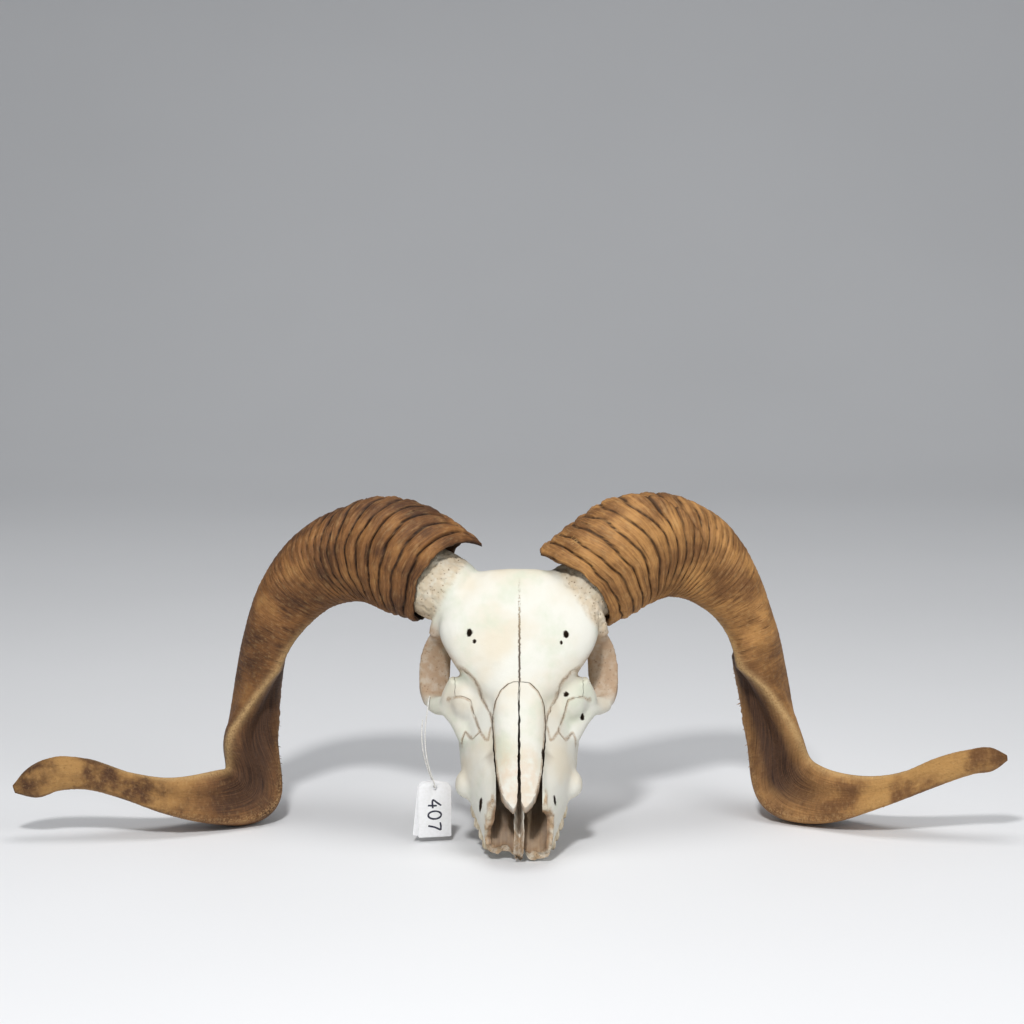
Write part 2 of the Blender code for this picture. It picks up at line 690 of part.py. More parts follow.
def part_bones(bone):
    """Cut the skull along its sutures and return each bone."""
    gap = JOINT_GAP
    far = 90.0
    half = [(far, 97), (41, 95), (30, 83), (24.5, 74), (19, 62), (10, 60)]
    suture = [(-x, y) for x, y in half] + half[::-1]
    front_block = prism("front", [(-far, -90)] + suture + [(far, -90)], 2, -60, 150)
    back_block = prism("back", [(-far, 260)] + [(x, y + gap) for x, y in suture] + [(far, 260)], 2, -60, 150)
    bones = {}
    for side, sign in (("left", -1), ("right", 1)):
        cheek = prism("cheek_" + side, [
            (sign * 41, 40), (sign * far, 40), (sign * far, 141), (sign * 47, 141), (sign * 41, 112),
        ], 2, -20, 73.5)
        cheek_room = prism("cheek_room_" + side, [
            (sign * (41 - gap), 40 - gap), (sign * far, 40 - gap), (sign * far, 141 + gap),
            (sign * (47 - gap), 141 + gap), (sign * (41 - gap), 112),
        ], 2, -20, 73.5 + gap)
        bones["zygomatic_" + side] = copy_of(bone, "zygomatic_" + side)
        combine(bones["zygomatic_" + side], "INTERSECT", [cheek])
        combine(bone, "DIFFERENCE", [cheek_room])
    bones["cranium"] = copy_of(bone, "cranium")
    combine(bones["cranium"], "INTERSECT", [back_block])
    combine(bone, "INTERSECT", [front_block])
    for side, sign in (("left", -1), ("right", 1)):
        bones["nasal_" + side] = copy_of(bone, "nasal_" + side)
        combine(bones["nasal_" + side], "INTERSECT", [nasal_block("nasal_keep", sign, 0.0)])
    combine(bone, "DIFFERENCE", [nasal_block("nasal_room", sign, gap) for sign in (-1, 1)])
    break_muzzle(bone)
    bone.name = "upper_jaw"
    bones["upper_jaw"] = bone
    for solid in bones.values():
        keep_largest(solid)
    return bones


def build_septum(shade):
    """The thin upright plate that stands on the floor of the nose."""
    foot = [(y, float(np.interp(y, *zip(*HOLLOW_FLOOR))) + JOINT_GAP) for y in (-8.0, 10.0, 38.0)]
    plate = prism("vomer", foot + [
        (38.0, SEPTUM_TOP), (10.0, SEPTUM_TOP), (-4.0, SEPTUM_TOP - 6.0),
    ], 0, -0.5 * SEPTUM_THICK, 0.5 * SEPTUM_THICK)
    plate.data.transform(skull_pose())
    finish(plate, shade)


def build_tag(name, number, shade):
    """A card with clipped shoulders, hanging from the hole near its top."""
    wide, tall, thick = TAG_SIZE
    half = 0.5 * wide
    shoulder = tall - TAG_SHOULDER
    tag = prism(name, (
        (-half, 0.0), (half, 0.0), (half, shoulder), (half - TAG_SHOULDER, tall),
        (TAG_SHOULDER - half, tall), (-half, shoulder),
    ), 1, -0.5 * thick, 0.5 * thick)
    hole_height = tall - TAG_HOLE_DROP
    turn = np.linspace(0.0, 2 * math.pi, 12, endpoint=False)
    across, up = TAG_HOLE * np.cos(turn), hole_height + TAG_HOLE * np.sin(turn)
    rings = [np.stack([across, np.full(12, y), up], axis=1) for y in (-thick, thick)]
    combine(tag, "DIFFERENCE", [solid_from_rings("hole", rings)], "EXACT")
    to_hole = Matrix.Translation(Vector((0.0, number * TAG_STEP, 0.0)) * MM)
    from_hole = Matrix.Translation(Vector((0.0, 0.0, -hole_height)) * MM)
    swing = Matrix.Rotation(math.radians(TAG_SWING_DEG[name]), 4, "Y")
    face = Matrix.Rotation(math.radians(TAG_TURN_DEG), 4, "Z")
    place = Matrix.Translation(Vector(TAG_HOLE_PLACE) * MM)
    tag.data.transform(rest_pose() @ place @ face @ to_hole @ swing @ from_hole)
    finish(tag, shade)


def build_string(shade):
    route = np.array(STRING_ROUTE, dtype=float)
    steps = np.linalg.norm(np.diff(route, axis=0), axis=1)
    knots = np.concatenate([[0.0], np.cumsum(steps)])
    places = np.linspace(0.0, knots[-1], STRING_POINTS)
    points = read_smoothly(route, places, knots) + np.array(ORIGIN_SHIFT)
    curve = bpy.data.curves.new("tag_string", "CURVE")
    curve.dimensions = "3D"
    curve.bevel_depth = 0.5 * STRING_THICK * MM
    curve.bevel_resolution = 2
    curve.use_fill_caps = True
    line = curve.splines.new("POLY")
    line.points.add(len(points) - 1)
    for point, place in zip(line.points, points):
        point.co = (*(place * MM), 1.0)
    curve.materials.append(shade)
    string = bpy.data.objects.new("tag_string", curve)
    bpy.context.scene.collection.objects.link(string)


def build():
    clear_scene()
    bone_shade = material("bone", (0.82, 0.80, 0.72), 0.55)
    horn_shade = material("horn", (0.36, 0.19, 0.08), 0.5)
    card_shade = material("card", (0.9, 0.9, 0.9), 0.7)
    cotton_shade = material("cotton", (0.85, 0.84, 0.8), 0.8)
    bone = build_bone_mass()
    hollow_the_nose(bone)
    rooms = [sheath_room("room_left", LEFT_HORN), sheath_room("room_right", RIGHT_HORN)]
    combine(bone, "DIFFERENCE", rooms)
    keep_largest(bone)
    for name, solid in part_bones(bone).items():
        if name == "upper_jaw":
            join_teeth(solid)
        solid.data.transform(skull_pose())
        stand_on_floor(solid)
        finish(solid, bone_shade)
    build_septum(bone_shade)
    build_horn("left", LEFT_HORN, horn_shade)
    build_horn("right", RIGHT_HORN, horn_shade)
    for number, name in enumerate(TAG_SWING_DEG):
        build_tag(name, number, card_shade)
    build_string(cotton_shade)


build()
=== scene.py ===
"""A ram's skull: bones, teeth, horn sheaths, string and tags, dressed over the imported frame.

Bones are shaped in the skull's own frame, in millimetres: x to the side, y back from the
broken muzzle and z up from the chewing surface of the teeth. Horns, string and tags are
placed in the resting frame, z up from the floor. Everything is in metres at the end.
"""
import math
from itertools import product

import bmesh
import bpy
import numpy as np
from mathutils import Matrix, Vector


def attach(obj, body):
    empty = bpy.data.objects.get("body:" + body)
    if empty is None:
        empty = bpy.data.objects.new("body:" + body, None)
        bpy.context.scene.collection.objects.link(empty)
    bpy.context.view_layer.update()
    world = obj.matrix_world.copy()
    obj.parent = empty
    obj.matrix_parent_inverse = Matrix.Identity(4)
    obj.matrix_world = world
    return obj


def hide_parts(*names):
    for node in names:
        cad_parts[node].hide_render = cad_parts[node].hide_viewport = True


bl_info = {
    "name": "Ram Skull Dressing",
    "version": (1, 0, 0),
    "blender": (4, 5, 0),
    "location": "View3D > Sidebar > Ram Skull",
    "description": "Builds the bones, horn sheaths, string, tags and stage of a ram's skull",
    "category": "Add Mesh",
}

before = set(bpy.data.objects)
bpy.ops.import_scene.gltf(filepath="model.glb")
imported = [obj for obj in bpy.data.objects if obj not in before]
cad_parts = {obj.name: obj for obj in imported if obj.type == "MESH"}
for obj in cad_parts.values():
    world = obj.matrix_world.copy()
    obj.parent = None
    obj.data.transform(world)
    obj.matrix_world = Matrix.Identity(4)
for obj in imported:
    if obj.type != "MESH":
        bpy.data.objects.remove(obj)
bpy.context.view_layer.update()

MM = 0.001
SIDES = (("left", -1.0), ("right", 1.0))

# Camera with the photo's viewing angle and framing, in metres
LENS_MM = 108.18
SENSOR_MM = 36.0
CAMERA_PLACE = (0.0015, -1.9714, 0.529)
CAMERA_TILT_DEG = 81.0

# Floor, in metres: half its width, its front edge, and where, how round and how high it rises
FLOOR_HALF_WIDTH = 7.0
FLOOR_FRONT = -6.0
RISE_START = 1.5
RISE_RADIUS = 1.4
RISE_STEPS = 24
BACKDROP_TOP = 6.0

# Lights, in metres: where each one hangs and what it points at, then its size
KEY_AIM = ((-0.25, -1.6, 1.6), (0.0, 0.2, 0.05))
KEY_CONE_DEG = 84.0
KEY_RADIUS = 0.12
FILL_AIM = ((1.1, -1.2, 1.1), (0.0, 0.0, 0.08))
FILL_WIDTH = 1.2
TOP_AIM = ((0.0, -0.1, 1.7), (0.0, 0.1, 0.0))
TOP_WIDTH = 0.9
ROOM_COLOUR = (0.92, 0.95, 1.0, 1.0)
ROOM_STRENGTH = 0.24

# How the skull rests
NOSE_DOWN_DEG = 41.5
ORIGIN_SHIFT = (6.0, -50.5, 0.0)

# The muzzle is broken off ahead of the first cheek teeth
BREAK_LOW = (-12.5, 2.0)
BREAK_HIGH = (22.0, 68.0)

# Nose: the pair of nasal bones and the hollow below them
NASAL_SLOPE = 0.41
NASAL_UNDERSIDE = 38.5
NASAL_GAP = 0.75
NASAL_OUTLINE = ((1.3, 5.0), (2.4, 2.4), (3.6, 1.0), (5.4, 2.4), (8.1, 5.5), (10.5, 10.0), (12.6, 16.6),
                 (14.2, 25.0), (15.2, 34.0), (15.9, 44.0), (16.6, 53.0), (16.5, 60.0), (14.9, 66.5),
                 (11.8, 71.3), (7.0, 74.9), (3.0, 75.9), (0.5, 76.0), (0.62, 60.0), (0.8, 30.0))
HOLLOW_FLOOR = ((-24.0, 11.5), (10.0, 14.5), (38.0, 16.5), (62.0, 22.5))
HOLLOW_WIDTH = (13.6, 20.4, 28.9, 22.0)
HOLLOW_TOP = (34.4, 53.4, 66.4, 68.0)
HOLLOW_TOP_POWER = 1.9
HOLLOW_FLOOR_POWER = 3.0
HOLLOW_BACK = 70.0

# Orbit: the eye socket of each side
ORBIT_CENTRE = (56.0, 103.0, 58.0)
ORBIT_RADII = (29.0, 20.5, 20.5)

# How the bones are melted together: first coarsely, then with the cheeks' bars added again,
# and how often the skin is softened each time
FIRST_GRAIN = 1.3
FIRST_ROUNDS = 14
LAST_ROUNDS = 9

# Sutures seen from above, on the right side, from the orbit inwards
FRONTAL_SUTURE = ((90.0, 97.0), (48.0, 97.0), (44.0, 95.0), (39.5, 91.6), (33.3, 86.8), (28.2, 81.5),
                  (25.0, 76.9), (21.5, 70.0), (18.2, 62.0), (17.0, 56.0), (0.0, 56.0))
LACRIMAL_LOWER = ((46.0, 79.4), (43.0, 77.6), (38.0, 75.9), (31.5, 73.5), (27.6, 64.3), (25.0, 55.4),
                  (21.4, 48.6), (19.8, 47.4), (18.2, 54.0))
CHEEK_INNER = ((43.0, 77.6), (38.0, 75.9), (31.5, 73.5), (27.6, 64.3), (25.0, 55.4), (29.5, 54.0),
               (34.4, 61.0), (37.6, 56.0), (39.5, 48.0), (41.0, 40.0))
TEAR_BONE_BACK = ((17.6, 58.0), (17.0, 66.0), (25.0, 100.0), (52.0, 101.0), (52.0, 84.0))

# Cheek bone: its seam low down, its far corners, and the levels of its top and of the step
# between the two seams
CHEEK_LOWER_SEAM = ((41.5, 112.0), (41.5, 84.0), (40.5, 62.0), (41.5, 40.0))
CHEEK_CORNERS = ((90.0, 40.0), (90.0, 141.0), (47.0, 141.0), (42.0, 112.0), (42.0, 90.0))
CHEEK_TOP = 73.5
CHEEK_STEP = 44.0

# Places well clear of the skull: to the side, at the back and below
CLEAR_SIDE = 90.0
CLEAR_BACK = 260.0
CLEAR_BELOW = -20.0

# Cheek teeth of each side: length along the row and breadth, from front to back
TEETH = ((6.5, 6.5), (8.0, 8.0), (9.0, 10.0), (13.0, 12.0), (16.5, 12.5), (19.0, 12.0))
ROW_START = 5.0
ROW_FRONT_X = 20.5
ROW_SPREAD = 11.5
CROWN_HEIGHT = 15.0

# Openings for nerves and vessels, and one old wound: place, then radii, all in the skull's
# frame, and how far they slant
OPENING_SLANT_DEG = 18.0
FORAMINA = (
    ((-31.8, 107.0, 93.2), (1.8, 2.2, 7.0)), ((-28.5, 102.0, 94.0), (0.9, 1.0, 4.0)),
    ((30.2, 105.8, 93.4), (1.7, 2.1, 7.0)), ((27.2, 101.0, 93.7), (0.8, 0.9, 4.0)),
    ((-24.2, 15.0, 36.2), (1.3, 2.0, 6.0)), ((22.2, 14.2, 37.0), (1.3, 2.1, 8.0)),
    ((30.4, 76.4, 70.2), (1.6, 1.0, 4.5)), ((15.6, 34.6, 66.0), (1.2, 3.6, 4.0)),
    ((40.2, 69.8, 54.8), (1.7, 1.4, 5.0)), ((-22.6, 60.5, 69.0), (0.9, 1.8, 3.0)),
)

# Stations down each horn: centre x, y, z, half the face seen from the front, half the
# thickness, then where the keel stands (degrees from the outer side of the curl towards
# the front) and how sharp it is
LEFT_HORN = (
    (-45.6, 56, 170.3, 32.7, 25, 180, 0.03), (-61.4, 60, 178.9, 35.3, 27, 180, 0.03),
    (-83.2, 68, 186.1, 37.0, 28.5, 180, 0.03), (-102.8, 80, 184.7, 33.3, 29, 178, 0.04),
    (-127.4, 92, 175.2, 28.4, 28.5, 172, 0.06), (-150.9, 102, 154.5, 22.1, 28, 160, 0.09),
    (-167.8, 108, 124.7, 16.4, 27, 138, 0.12), (-176.4, 110, 89.2, 15.7, 25, 100, 0.13),
    (-179.8, 104, 54.7, 18.0, 22, 55, 0.13), (-183.1, 90, 19.2, 22.6, 18, 14, 0.12),
    (-207.9, 70, 22.5, 16.8, 17, 5, 0.11), (-231.8, 58, 26.3, 11.7, 15, 0, 0.1),
    (-257.1, 50, 35.0, 8.9, 12.5, 0, 0.08), (-285.0, 44, 44.3, 10.4, 9, 0, 0.06),
    (-303.1, 42, 44.4, 11.5, 7.5, 0, 0.03), (-320.1, 41, 38.0, 9.6, 6, 0, 0.0),
    (-330.5, 40, 34.9, 2.7, 2.5, 0, 0.0),
)
RIGHT_HORN = (
    (35.3, 56, 167.0, 32.4, 25, 180, 0.03), (51.7, 60, 176.2, 35.3, 27, 180, 0.03),
    (71.6, 68, 187.4, 36.6, 28.5, 180, 0.03), (91.8, 80, 189.4, 35.0, 29, 178, 0.04),
    (115.0, 92, 182.0, 30.9, 28.5, 172, 0.06), (139.8, 102, 159.9, 21.8, 28, 160, 0.09),
    (153.9, 108, 134.3, 16.7, 27, 158, 0.12), (164.0, 110, 95.4, 17.6, 25, 97, 0.13),
    (171.1, 108, 56.6, 18.3, 22, 52, 0.13), (183.5, 98, 22.0, 23.3, 18, 14, 0.12),
    (209.1, 78, 21.2, 17.9, 17, 5, 0.11), (231.3, 63, 26.7, 11.5, 15, 0, 0.1),
    (256.3, 53, 35.6, 8.0, 12.5, 0, 0.08), (276.2, 46, 45.5, 8.6, 9, 0, 0.06),
    (295.2, 42, 52.2, 8.0, 7.5, 0, 0.03), (311.1, 40, 55.0, 7.0, 6, 0, 0.0),
    (319.0, 40, 55.7, 2.0, 2, 0, 0.0),
)

# Each horn's own looks: how far its mouth and rings are swept away from the skull at some
# turns, the height of its rings down its length, where the peeled layer ends (growth
# distance at the outer edge, its shift across the front and its step), how thick the
# sheath is at its mouth, and the seed of its unevenness
SWEEP_TURNS_DEG = (0, 25, 50, 75, 100, 140, 180, 230, 290, 335)
HORNS = {
    "left": {"stations": LEFT_HORN, "seed": 3, "wall": 3.2, "peel": (62.0, 3.0, 2.6),
             "sweep": (-6, 1, 7, 12, 13.5, 10, 4.5, 6, 10, 4),
             "height": ((0, 52, 72, 95, 140, 240), (3.1, 2.9, 1.6, 0.8, 0.22, 0.06))},
    "right": {"stations": RIGHT_HORN, "seed": 11, "wall": 4.2, "peel": (54.0, 26.0, 2.6),
              "sweep": (-8, -7, -3, 4, 9, 10, 6, 7, 7, -1),
              "height": ((0, 60, 82, 112, 150, 240), (2.9, 2.6, 1.4, 0.7, 0.22, 0.06))},
}
SWEEP_REACH = 78.0

# Distance from ring to ring, at some growth distances
RING_SPACING = ((0, 48, 72, 98, 135, 460), (9.2, 8.6, 6.2, 4.2, 3.0, 2.6))

# Stretches of each horn, by the growth distances over which each one begins and ends: the
# hollow face, the frayed lower edge and the bend whose tight inside is drawn out
HOLLOW_FACE = ((98, 168), (330, 415))
FRAYED_EDGE = ((120, 200), (300, 380))
LOWER_BEND = ((215, 250), (325, 350))
EDGE_FROM_KEEL = 2.1

# How deep a sheath's mouth is, and how its bony core keeps clear of it
MOUTH_DEPTH = 26.0
BONE_GAP = 0.5
CORE_DROP = 6.0

# Card tags on a cotton string, from the lower rim of the left orbit
TAG_SIZE = (22.0, 38.0, 0.5)
TAG_HOLE = 1.7
TAG_HOLE_DROP = 5.0
TAG_HOLE_PLACE = (-55.0, 36.5, 36.5)
TAG_TURN_DEG = 12.0
TAG_STEP = 2.2
TAG_SWING_DEG = (0.0, 6.0)
STRING_THICK = 0.9
STRING_TURN = 2.6
STRING_STEP = 0.3
STRING_ROUTE = (
    (-58.0, 37.6, 97.2), (-58.4, 33.0, 96.4), (-59.2, 30.2, 91.0), (-60.4, 30.4, 82.0),
    (-61.0, 31.4, 70.0), (-60.0, 32.4, 58.0), (-57.4, 33.2, 47.0), (-55.2, 33.6, 40.2),
    (-54.7, 34.6, 37.2), (-55.0, 36.5, 36.5), (-55.4, 38.4, 36.5), (-55.9, 40.4, 37.6),
    (-58.6, 41.2, 45.0), (-61.2, 40.4, 54.0), (-63.0, 39.6, 64.0), (-63.4, 40.2, 74.0),
    (-62.8, 42.4, 81.0),
)


class Wire:
    """A value that a material works out, with sums written as on paper."""

    def __init__(self, finish, socket):
        self.finish = finish
        self.socket = socket

    def sum(self, operation, *values):
        return self.finish.node("ShaderNodeMath", {"operation": operation}, dict(enumerate(values)))

    def __add__(self, other):
        return self.sum("ADD", self, other)

    def __radd__(self, other):
        return self.sum("ADD", other, self)

    def __sub__(self, other):
        return self.sum("SUBTRACT", self, other)

    def __rsub__(self, other):
        return self.sum("SUBTRACT", other, self)

    def __mul__(self, other):
        return self.sum("MULTIPLY", self, other)

    def __rmul__(self, other):
        return self.sum("MULTIPLY", other, self)

    def __truediv__(self, other):
        return self.sum("DIVIDE", self, other)

    def __pow__(self, other):
        return self.sum("POWER", self, other)

    def __abs__(self):
        return self.sum("ABSOLUTE", self)

    def rise(self, low, high):
        """From 0 at low to 1 at high, smoothly, or the other way if low is above high."""
        return self.finish.node("ShaderNodeMapRange", {"interpolation_type": "SMOOTHSTEP"},
                                {"Value": self, "From Min": low, "From Max": high})


class Finish:
    """A material, and the one way that its nodes are made."""

    def __init__(self, name):
        self.material = bpy.data.materials.new(name)
        self.material.use_nodes = True
        self.tree = self.material.node_tree
        self.shader = self.tree.nodes["Principled BSDF"]

    def node(self, kind, settings, sockets, output=0):
        made = self.tree.nodes.new(kind)
        for setting, value in settings.items():
            setattr(made, setting, value)
        for place, value in sockets.items():
            if isinstance(value, Wire):
                self.tree.links.new(value.socket, made.inputs[place])
            else:
                made.inputs[place].default_value = value
        return Wire(self, made.outputs[output])

    def value_of(self, name):
        return self.node("ShaderNodeAttribute", {"attribute_name": name}, {}, 2)

    def place_of(self, name):
        return self.node("ShaderNodeAttribute", {"attribute_name": name}, {}, 1)

    def parts(self, place):
        return [self.node("ShaderNodeSeparateXYZ", {}, {0: place}, axis) for axis in range(3)]

    def stretched(self, place, factors):
        return self.node("ShaderNodeVectorMath", {"operation": "MULTIPLY"}, {0: place, 1: factors})

    def object_mm(self):
        """Places on the piece, in millimetres."""
        place = self.node("ShaderNodeTexCoord", {}, {}, 3)
        return self.stretched(place, (1000.0, 1000.0, 1000.0))

    def noise(self, place, fineness, detail=2.0, rough=0.5):
        """Soft noise from 0 to 1, with so many bumps to the millimetre."""
        return self.node("ShaderNodeTexNoise", {}, {"Vector": place, "Scale": fineness, "Detail": detail,
                                                    "Roughness": rough})

    def cells(self, place, fineness):
        """Distance to the middle of the nearest of many scattered cells."""
        return self.node("ShaderNodeTexVoronoi", {}, {"Vector": place, "Scale": fineness})

    def blend(self, share, first, second):
        sockets = {0: share, 6: first, 7: second}
        for place in (6, 7):
            if not isinstance(sockets[place], Wire):
                sockets[place] = (*sockets[place], 1.0)
        return self.node("ShaderNodeMix", {"data_type": "RGBA"}, sockets, 2)

    def relief(self, height, depth_mm, strength=1.0):
        return self.node("ShaderNodeBump", {}, {"Height": height, "Distance": depth_mm * MM,
                                                "Strength": strength})

    def close(self, colour, roughness, normal=None, specular=0.5):
        for name, value in (("Base Color", colour), ("Roughness", roughness), ("Normal", normal)):
            if isinstance(value, Wire):
                self.tree.links.new(value.socket, self.shader.inputs[name])
            elif value is not None:
                self.shader.inputs[name].default_value = value
        self.shader.inputs["Specular IOR Level"].default_value = specular
        return self.material


def lattice(cells, seed):
    """A repeatable number from 0 to 1 for each whole-numbered cell."""
    mixed = cells[..., 0] * 374761393 + cells[..., 1] * 668265263 + cells[..., 2] * 1442695041
    mixed = (mixed + seed * 1274126177) & 0xFFFFFFFF
    mixed = ((mixed ^ (mixed >> 13)) * 1274126177) & 0xFFFFFFFF
    return ((mixed ^ (mixed >> 16)) & 0xFFFF) / 65535.0


def wander(points, size, seed, octaves=1):
    """Smooth noise from about -1 to 1 at some points, with bumps about one size wide."""
    total = 0.0
    for octave in range(octaves):
        scaled = np.asarray(points) / size * 2.0**octave + 19.7 * octave
        cell = np.floor(scaled).astype(np.int64)
        t = scaled - cell
        t = t * t * (3 - 2 * t)
        value = 0.0
        for corner in product((0, 1), repeat=3):
            share = np.prod(np.where(np.array(corner) == 1, t, 1 - t), axis=-1)
            value = value + share * lattice(cell + np.array(corner), seed + octave)
        total = total + (2 * value - 1) * 0.5**octave
    return total


def smooth_step(low, high, value):
    t = np.clip((value - low) / (high - low), 0.0, 1.0)
    return t * t * (3 - 2 * t)


def hump(value, width):
    return np.exp(-((value / width) ** 2))


def turned(angle):
    """An angle brought to between half a turn back and half a turn on."""
    return (angle + math.pi) % (2 * math.pi) - math.pi


def read_smoothly(stations, positions, knots):
    """Values at some positions along a smooth curve through the stations."""
    table = np.array(stations, dtype=float)
    slopes = np.gradient(table, knots, axis=0)
    left = np.clip(np.searchsorted(knots, positions, side="right") - 1, 0, len(knots) - 2)
    span = (knots[left + 1] - knots[left])[:, None]
    t = (positions - knots[left])[:, None] / span
    start = table[left] * (2 * t**3 - 3 * t**2 + 1) + slopes[left] * span * (t**3 - 2 * t**2 + t)
    end = table[left + 1] * (3 * t**2 - 2 * t**3) + slopes[left + 1] * span * (t**3 - t**2)
    return start + end


def unit(directions):
    """The same directions, each of length one."""
    return directions / np.linalg.norm(directions, axis=-1, keepdims=True)


def lengths_along(points):
    steps = np.linalg.norm(np.diff(points, axis=0), axis=1)
    return np.concatenate([[0.0], np.cumsum(steps)])


def new_object(name, points, faces):
    mesh = bpy.data.meshes.new(name)
    mesh.from_pydata((np.asarray(points) * MM).tolist(), [], faces)
    shape = bmesh.new()
    shape.from_mesh(mesh)
    bmesh.ops.recalc_face_normals(shape, faces=shape.faces)
    shape.to_mesh(mesh)
    shape.free()
    made = bpy.data.objects.new(name, mesh)
    bpy.context.scene.collection.objects.link(made)
    return made


def ring_faces(rings, size, first=0):
    """Four-sided faces between rings of equal size, one ring after another."""
    faces = []
    for row in range(rings - 1):
        low = first + row * size
        for side in range(size):
            after = (side + 1) % size
            faces.append((low + side, low + after, low + size + after, low + size + side))
    return faces


def solid_from_rings(name, rings):
    """A closed solid from rings of equal size, with a flat cap at each end."""
    size = len(rings[0])
    points = np.concatenate(rings)
    faces = [tuple(range(size)), tuple(range(len(points) - size, len(points)))]
    return new_object(name, points, faces + ring_faces(len(rings), size))


def loft(name, stations, count=60, sides=64):
    """A body along y. Each station gives y, half width, bottom, widest level, top,
    and how square its lower and upper halves are."""
    table = np.array(stations, dtype=float)
    positions = np.linspace(table[0, 0], table[-1, 0], count)
    turn = np.linspace(0.0, 2 * math.pi, sides, endpoint=False)
    across, up = np.cos(turn), np.sin(turn)
    rings = []
    for y, width, low, middle, high, low_power, high_power in read_smoothly(table, positions, table[:, 0]):
        power = 2.0 / np.where(up >= 0, high_power, low_power)
        reach = np.where(up >= 0, high - middle, middle - low)
        x = width * np.sign(across) * np.abs(across) ** power
        z = middle + reach * np.sign(up) * np.abs(up) ** power
        rings.append(np.stack([x, np.full(sides, y), z], axis=1))
    return solid_from_rings(name, rings)


def limb(name, stations, flat_side=(0.0, 0.0, 1.0), count=48, sides=28):
    """A bent bar through stations of x, y, z, then half its size along and across
    the flat side's direction."""
    table = np.array(stations, dtype=float)
    knots = lengths_along(table[:, :3])
    rows = read_smoothly(table, np.linspace(0.0, knots[-1], count), knots)
    turn = np.linspace(0.0, 2 * math.pi, sides, endpoint=False)
    rings = []
    for row, direction in zip(rows, unit(np.gradient(rows[:, :3], axis=0))):
        along = unit(np.array(flat_side) - direction * np.dot(flat_side, direction))
        across = np.cross(direction, along)
        spread = np.outer(np.cos(turn) * row[3], along) + np.outer(np.sin(turn) * row[4], across)
        rings.append(row[:3] + spread)
    return solid_from_rings(name, rings)


def ball(name, centre, radii, turn_x_deg=0.0, segments=40):
    mesh = bpy.data.meshes.new(name)
    shape = bmesh.new()
    bmesh.ops.create_uvsphere(shape, u_segments=segments, v_segments=segments // 2, radius=MM)
    turn = Matrix.Rotation(math.radians(turn_x_deg), 4, "X")
    place = Matrix.Translation(Vector(centre) * MM) @ turn @ Matrix.Diagonal((*radii, 1.0))
    bmesh.ops.transform(shape, matrix=place, verts=shape.verts)
    shape.to_mesh(mesh)
    shape.free()
    made = bpy.data.objects.new(name, mesh)
    bpy.context.scene.collection.objects.link(made)
    return made


def prism(name, outline, along, start, end):
    """A flat outline drawn out along one axis, from start to end."""
    places = [axis for axis in range(3) if axis != along]
    rings = []
    for level in (start, end):
        ring = np.zeros((len(outline), 3))
        ring[:, places[0]] = [point[0] for point in outline]
        ring[:, places[1]] = [point[1] for point in outline]
        ring[:, along] = level
        rings.append(ring)
    return solid_from_rings(name, rings)


def copy_of(solid, name):
    twin = solid.copy()
    twin.data = solid.data.copy()
    twin.name = name
    bpy.context.scene.collection.objects.link(twin)
    return twin


def mirrored(solid, name):
    twin = copy_of(solid, name)
    twin.data.transform(Matrix.Diagonal((-1.0, 1.0, 1.0, 1.0)))
    twin.data.flip_normals()
    return twin


def both_sides(solids):
    return solids + [mirrored(solid, solid.name + "_twin") for solid in solids]


def remove(*solids):
    for solid in solids:
        bpy.data.objects.remove(solid, do_unlink=True)


def apply_modifiers(solid):
    depsgraph = bpy.context.evaluated_depsgraph_get()
    finished = bpy.data.meshes.new_from_object(solid.evaluated_get(depsgraph))
    solid.modifiers.clear()
    solid.data = finished


def combine(solid, operation, others, solver="MANIFOLD"):
    """Apply one Boolean with each of the others, then remove them."""
    for other in others:
        step = solid.modifiers.new("combine", "BOOLEAN")
        step.operation = operation
        step.solver = solver
        step.object = other
        apply_modifiers(solid)
        remove(other)


def joined(name, solids):
    """All the solids' meshes in one object, not melted together."""
    mesh = bpy.data.meshes.new(name)
    shape = bmesh.new()
    for solid in solids:
        shape.from_mesh(solid.data)
    shape.to_mesh(mesh)
    shape.free()
    whole = bpy.data.objects.new(name, mesh)
    bpy.context.scene.collection.objects.link(whole)
    remove(*solids)
    return whole


def fuse(name, solids, grain, rounds):
    """Melt overlapping solids into one skin and round off the creases between them."""
    fused = joined(name, solids)
    skin = fused.modifiers.new("skin", "REMESH")
    skin.mode = "VOXEL"
    skin.voxel_size = grain * MM
    soften = fused.modifiers.new("soften", "SMOOTH")
    soften.factor = 0.5
    soften.iterations = rounds
    apply_modifiers(fused)
    return fused


def points_of(mesh):
    places = np.empty(len(mesh.vertices) * 3)
    mesh.vertices.foreach_get("co", places)
    return places.reshape(-1, 3) / MM


def normals_of(mesh):
    normals = np.empty(len(mesh.vertices) * 3, dtype=np.float32)
    mesh.vertex_normals.foreach_get("vector", normals)
    return normals.reshape(-1, 3)


def set_points(mesh, points):
    mesh.vertices.foreach_set("co", (points * MM).ravel())
    mesh.update()


def set_values(mesh, name, values):
    """Store one number, or one place, for each point of a mesh."""
    if values.ndim == 1:
        layer = mesh.attributes.new(name, "FLOAT", "POINT")
        layer.data.foreach_set("value", values.astype(np.float32))
    else:
        layer = mesh.attributes.new(name, "FLOAT_VECTOR", "POINT")
        layer.data.foreach_set("vector", values.astype(np.float32).ravel())


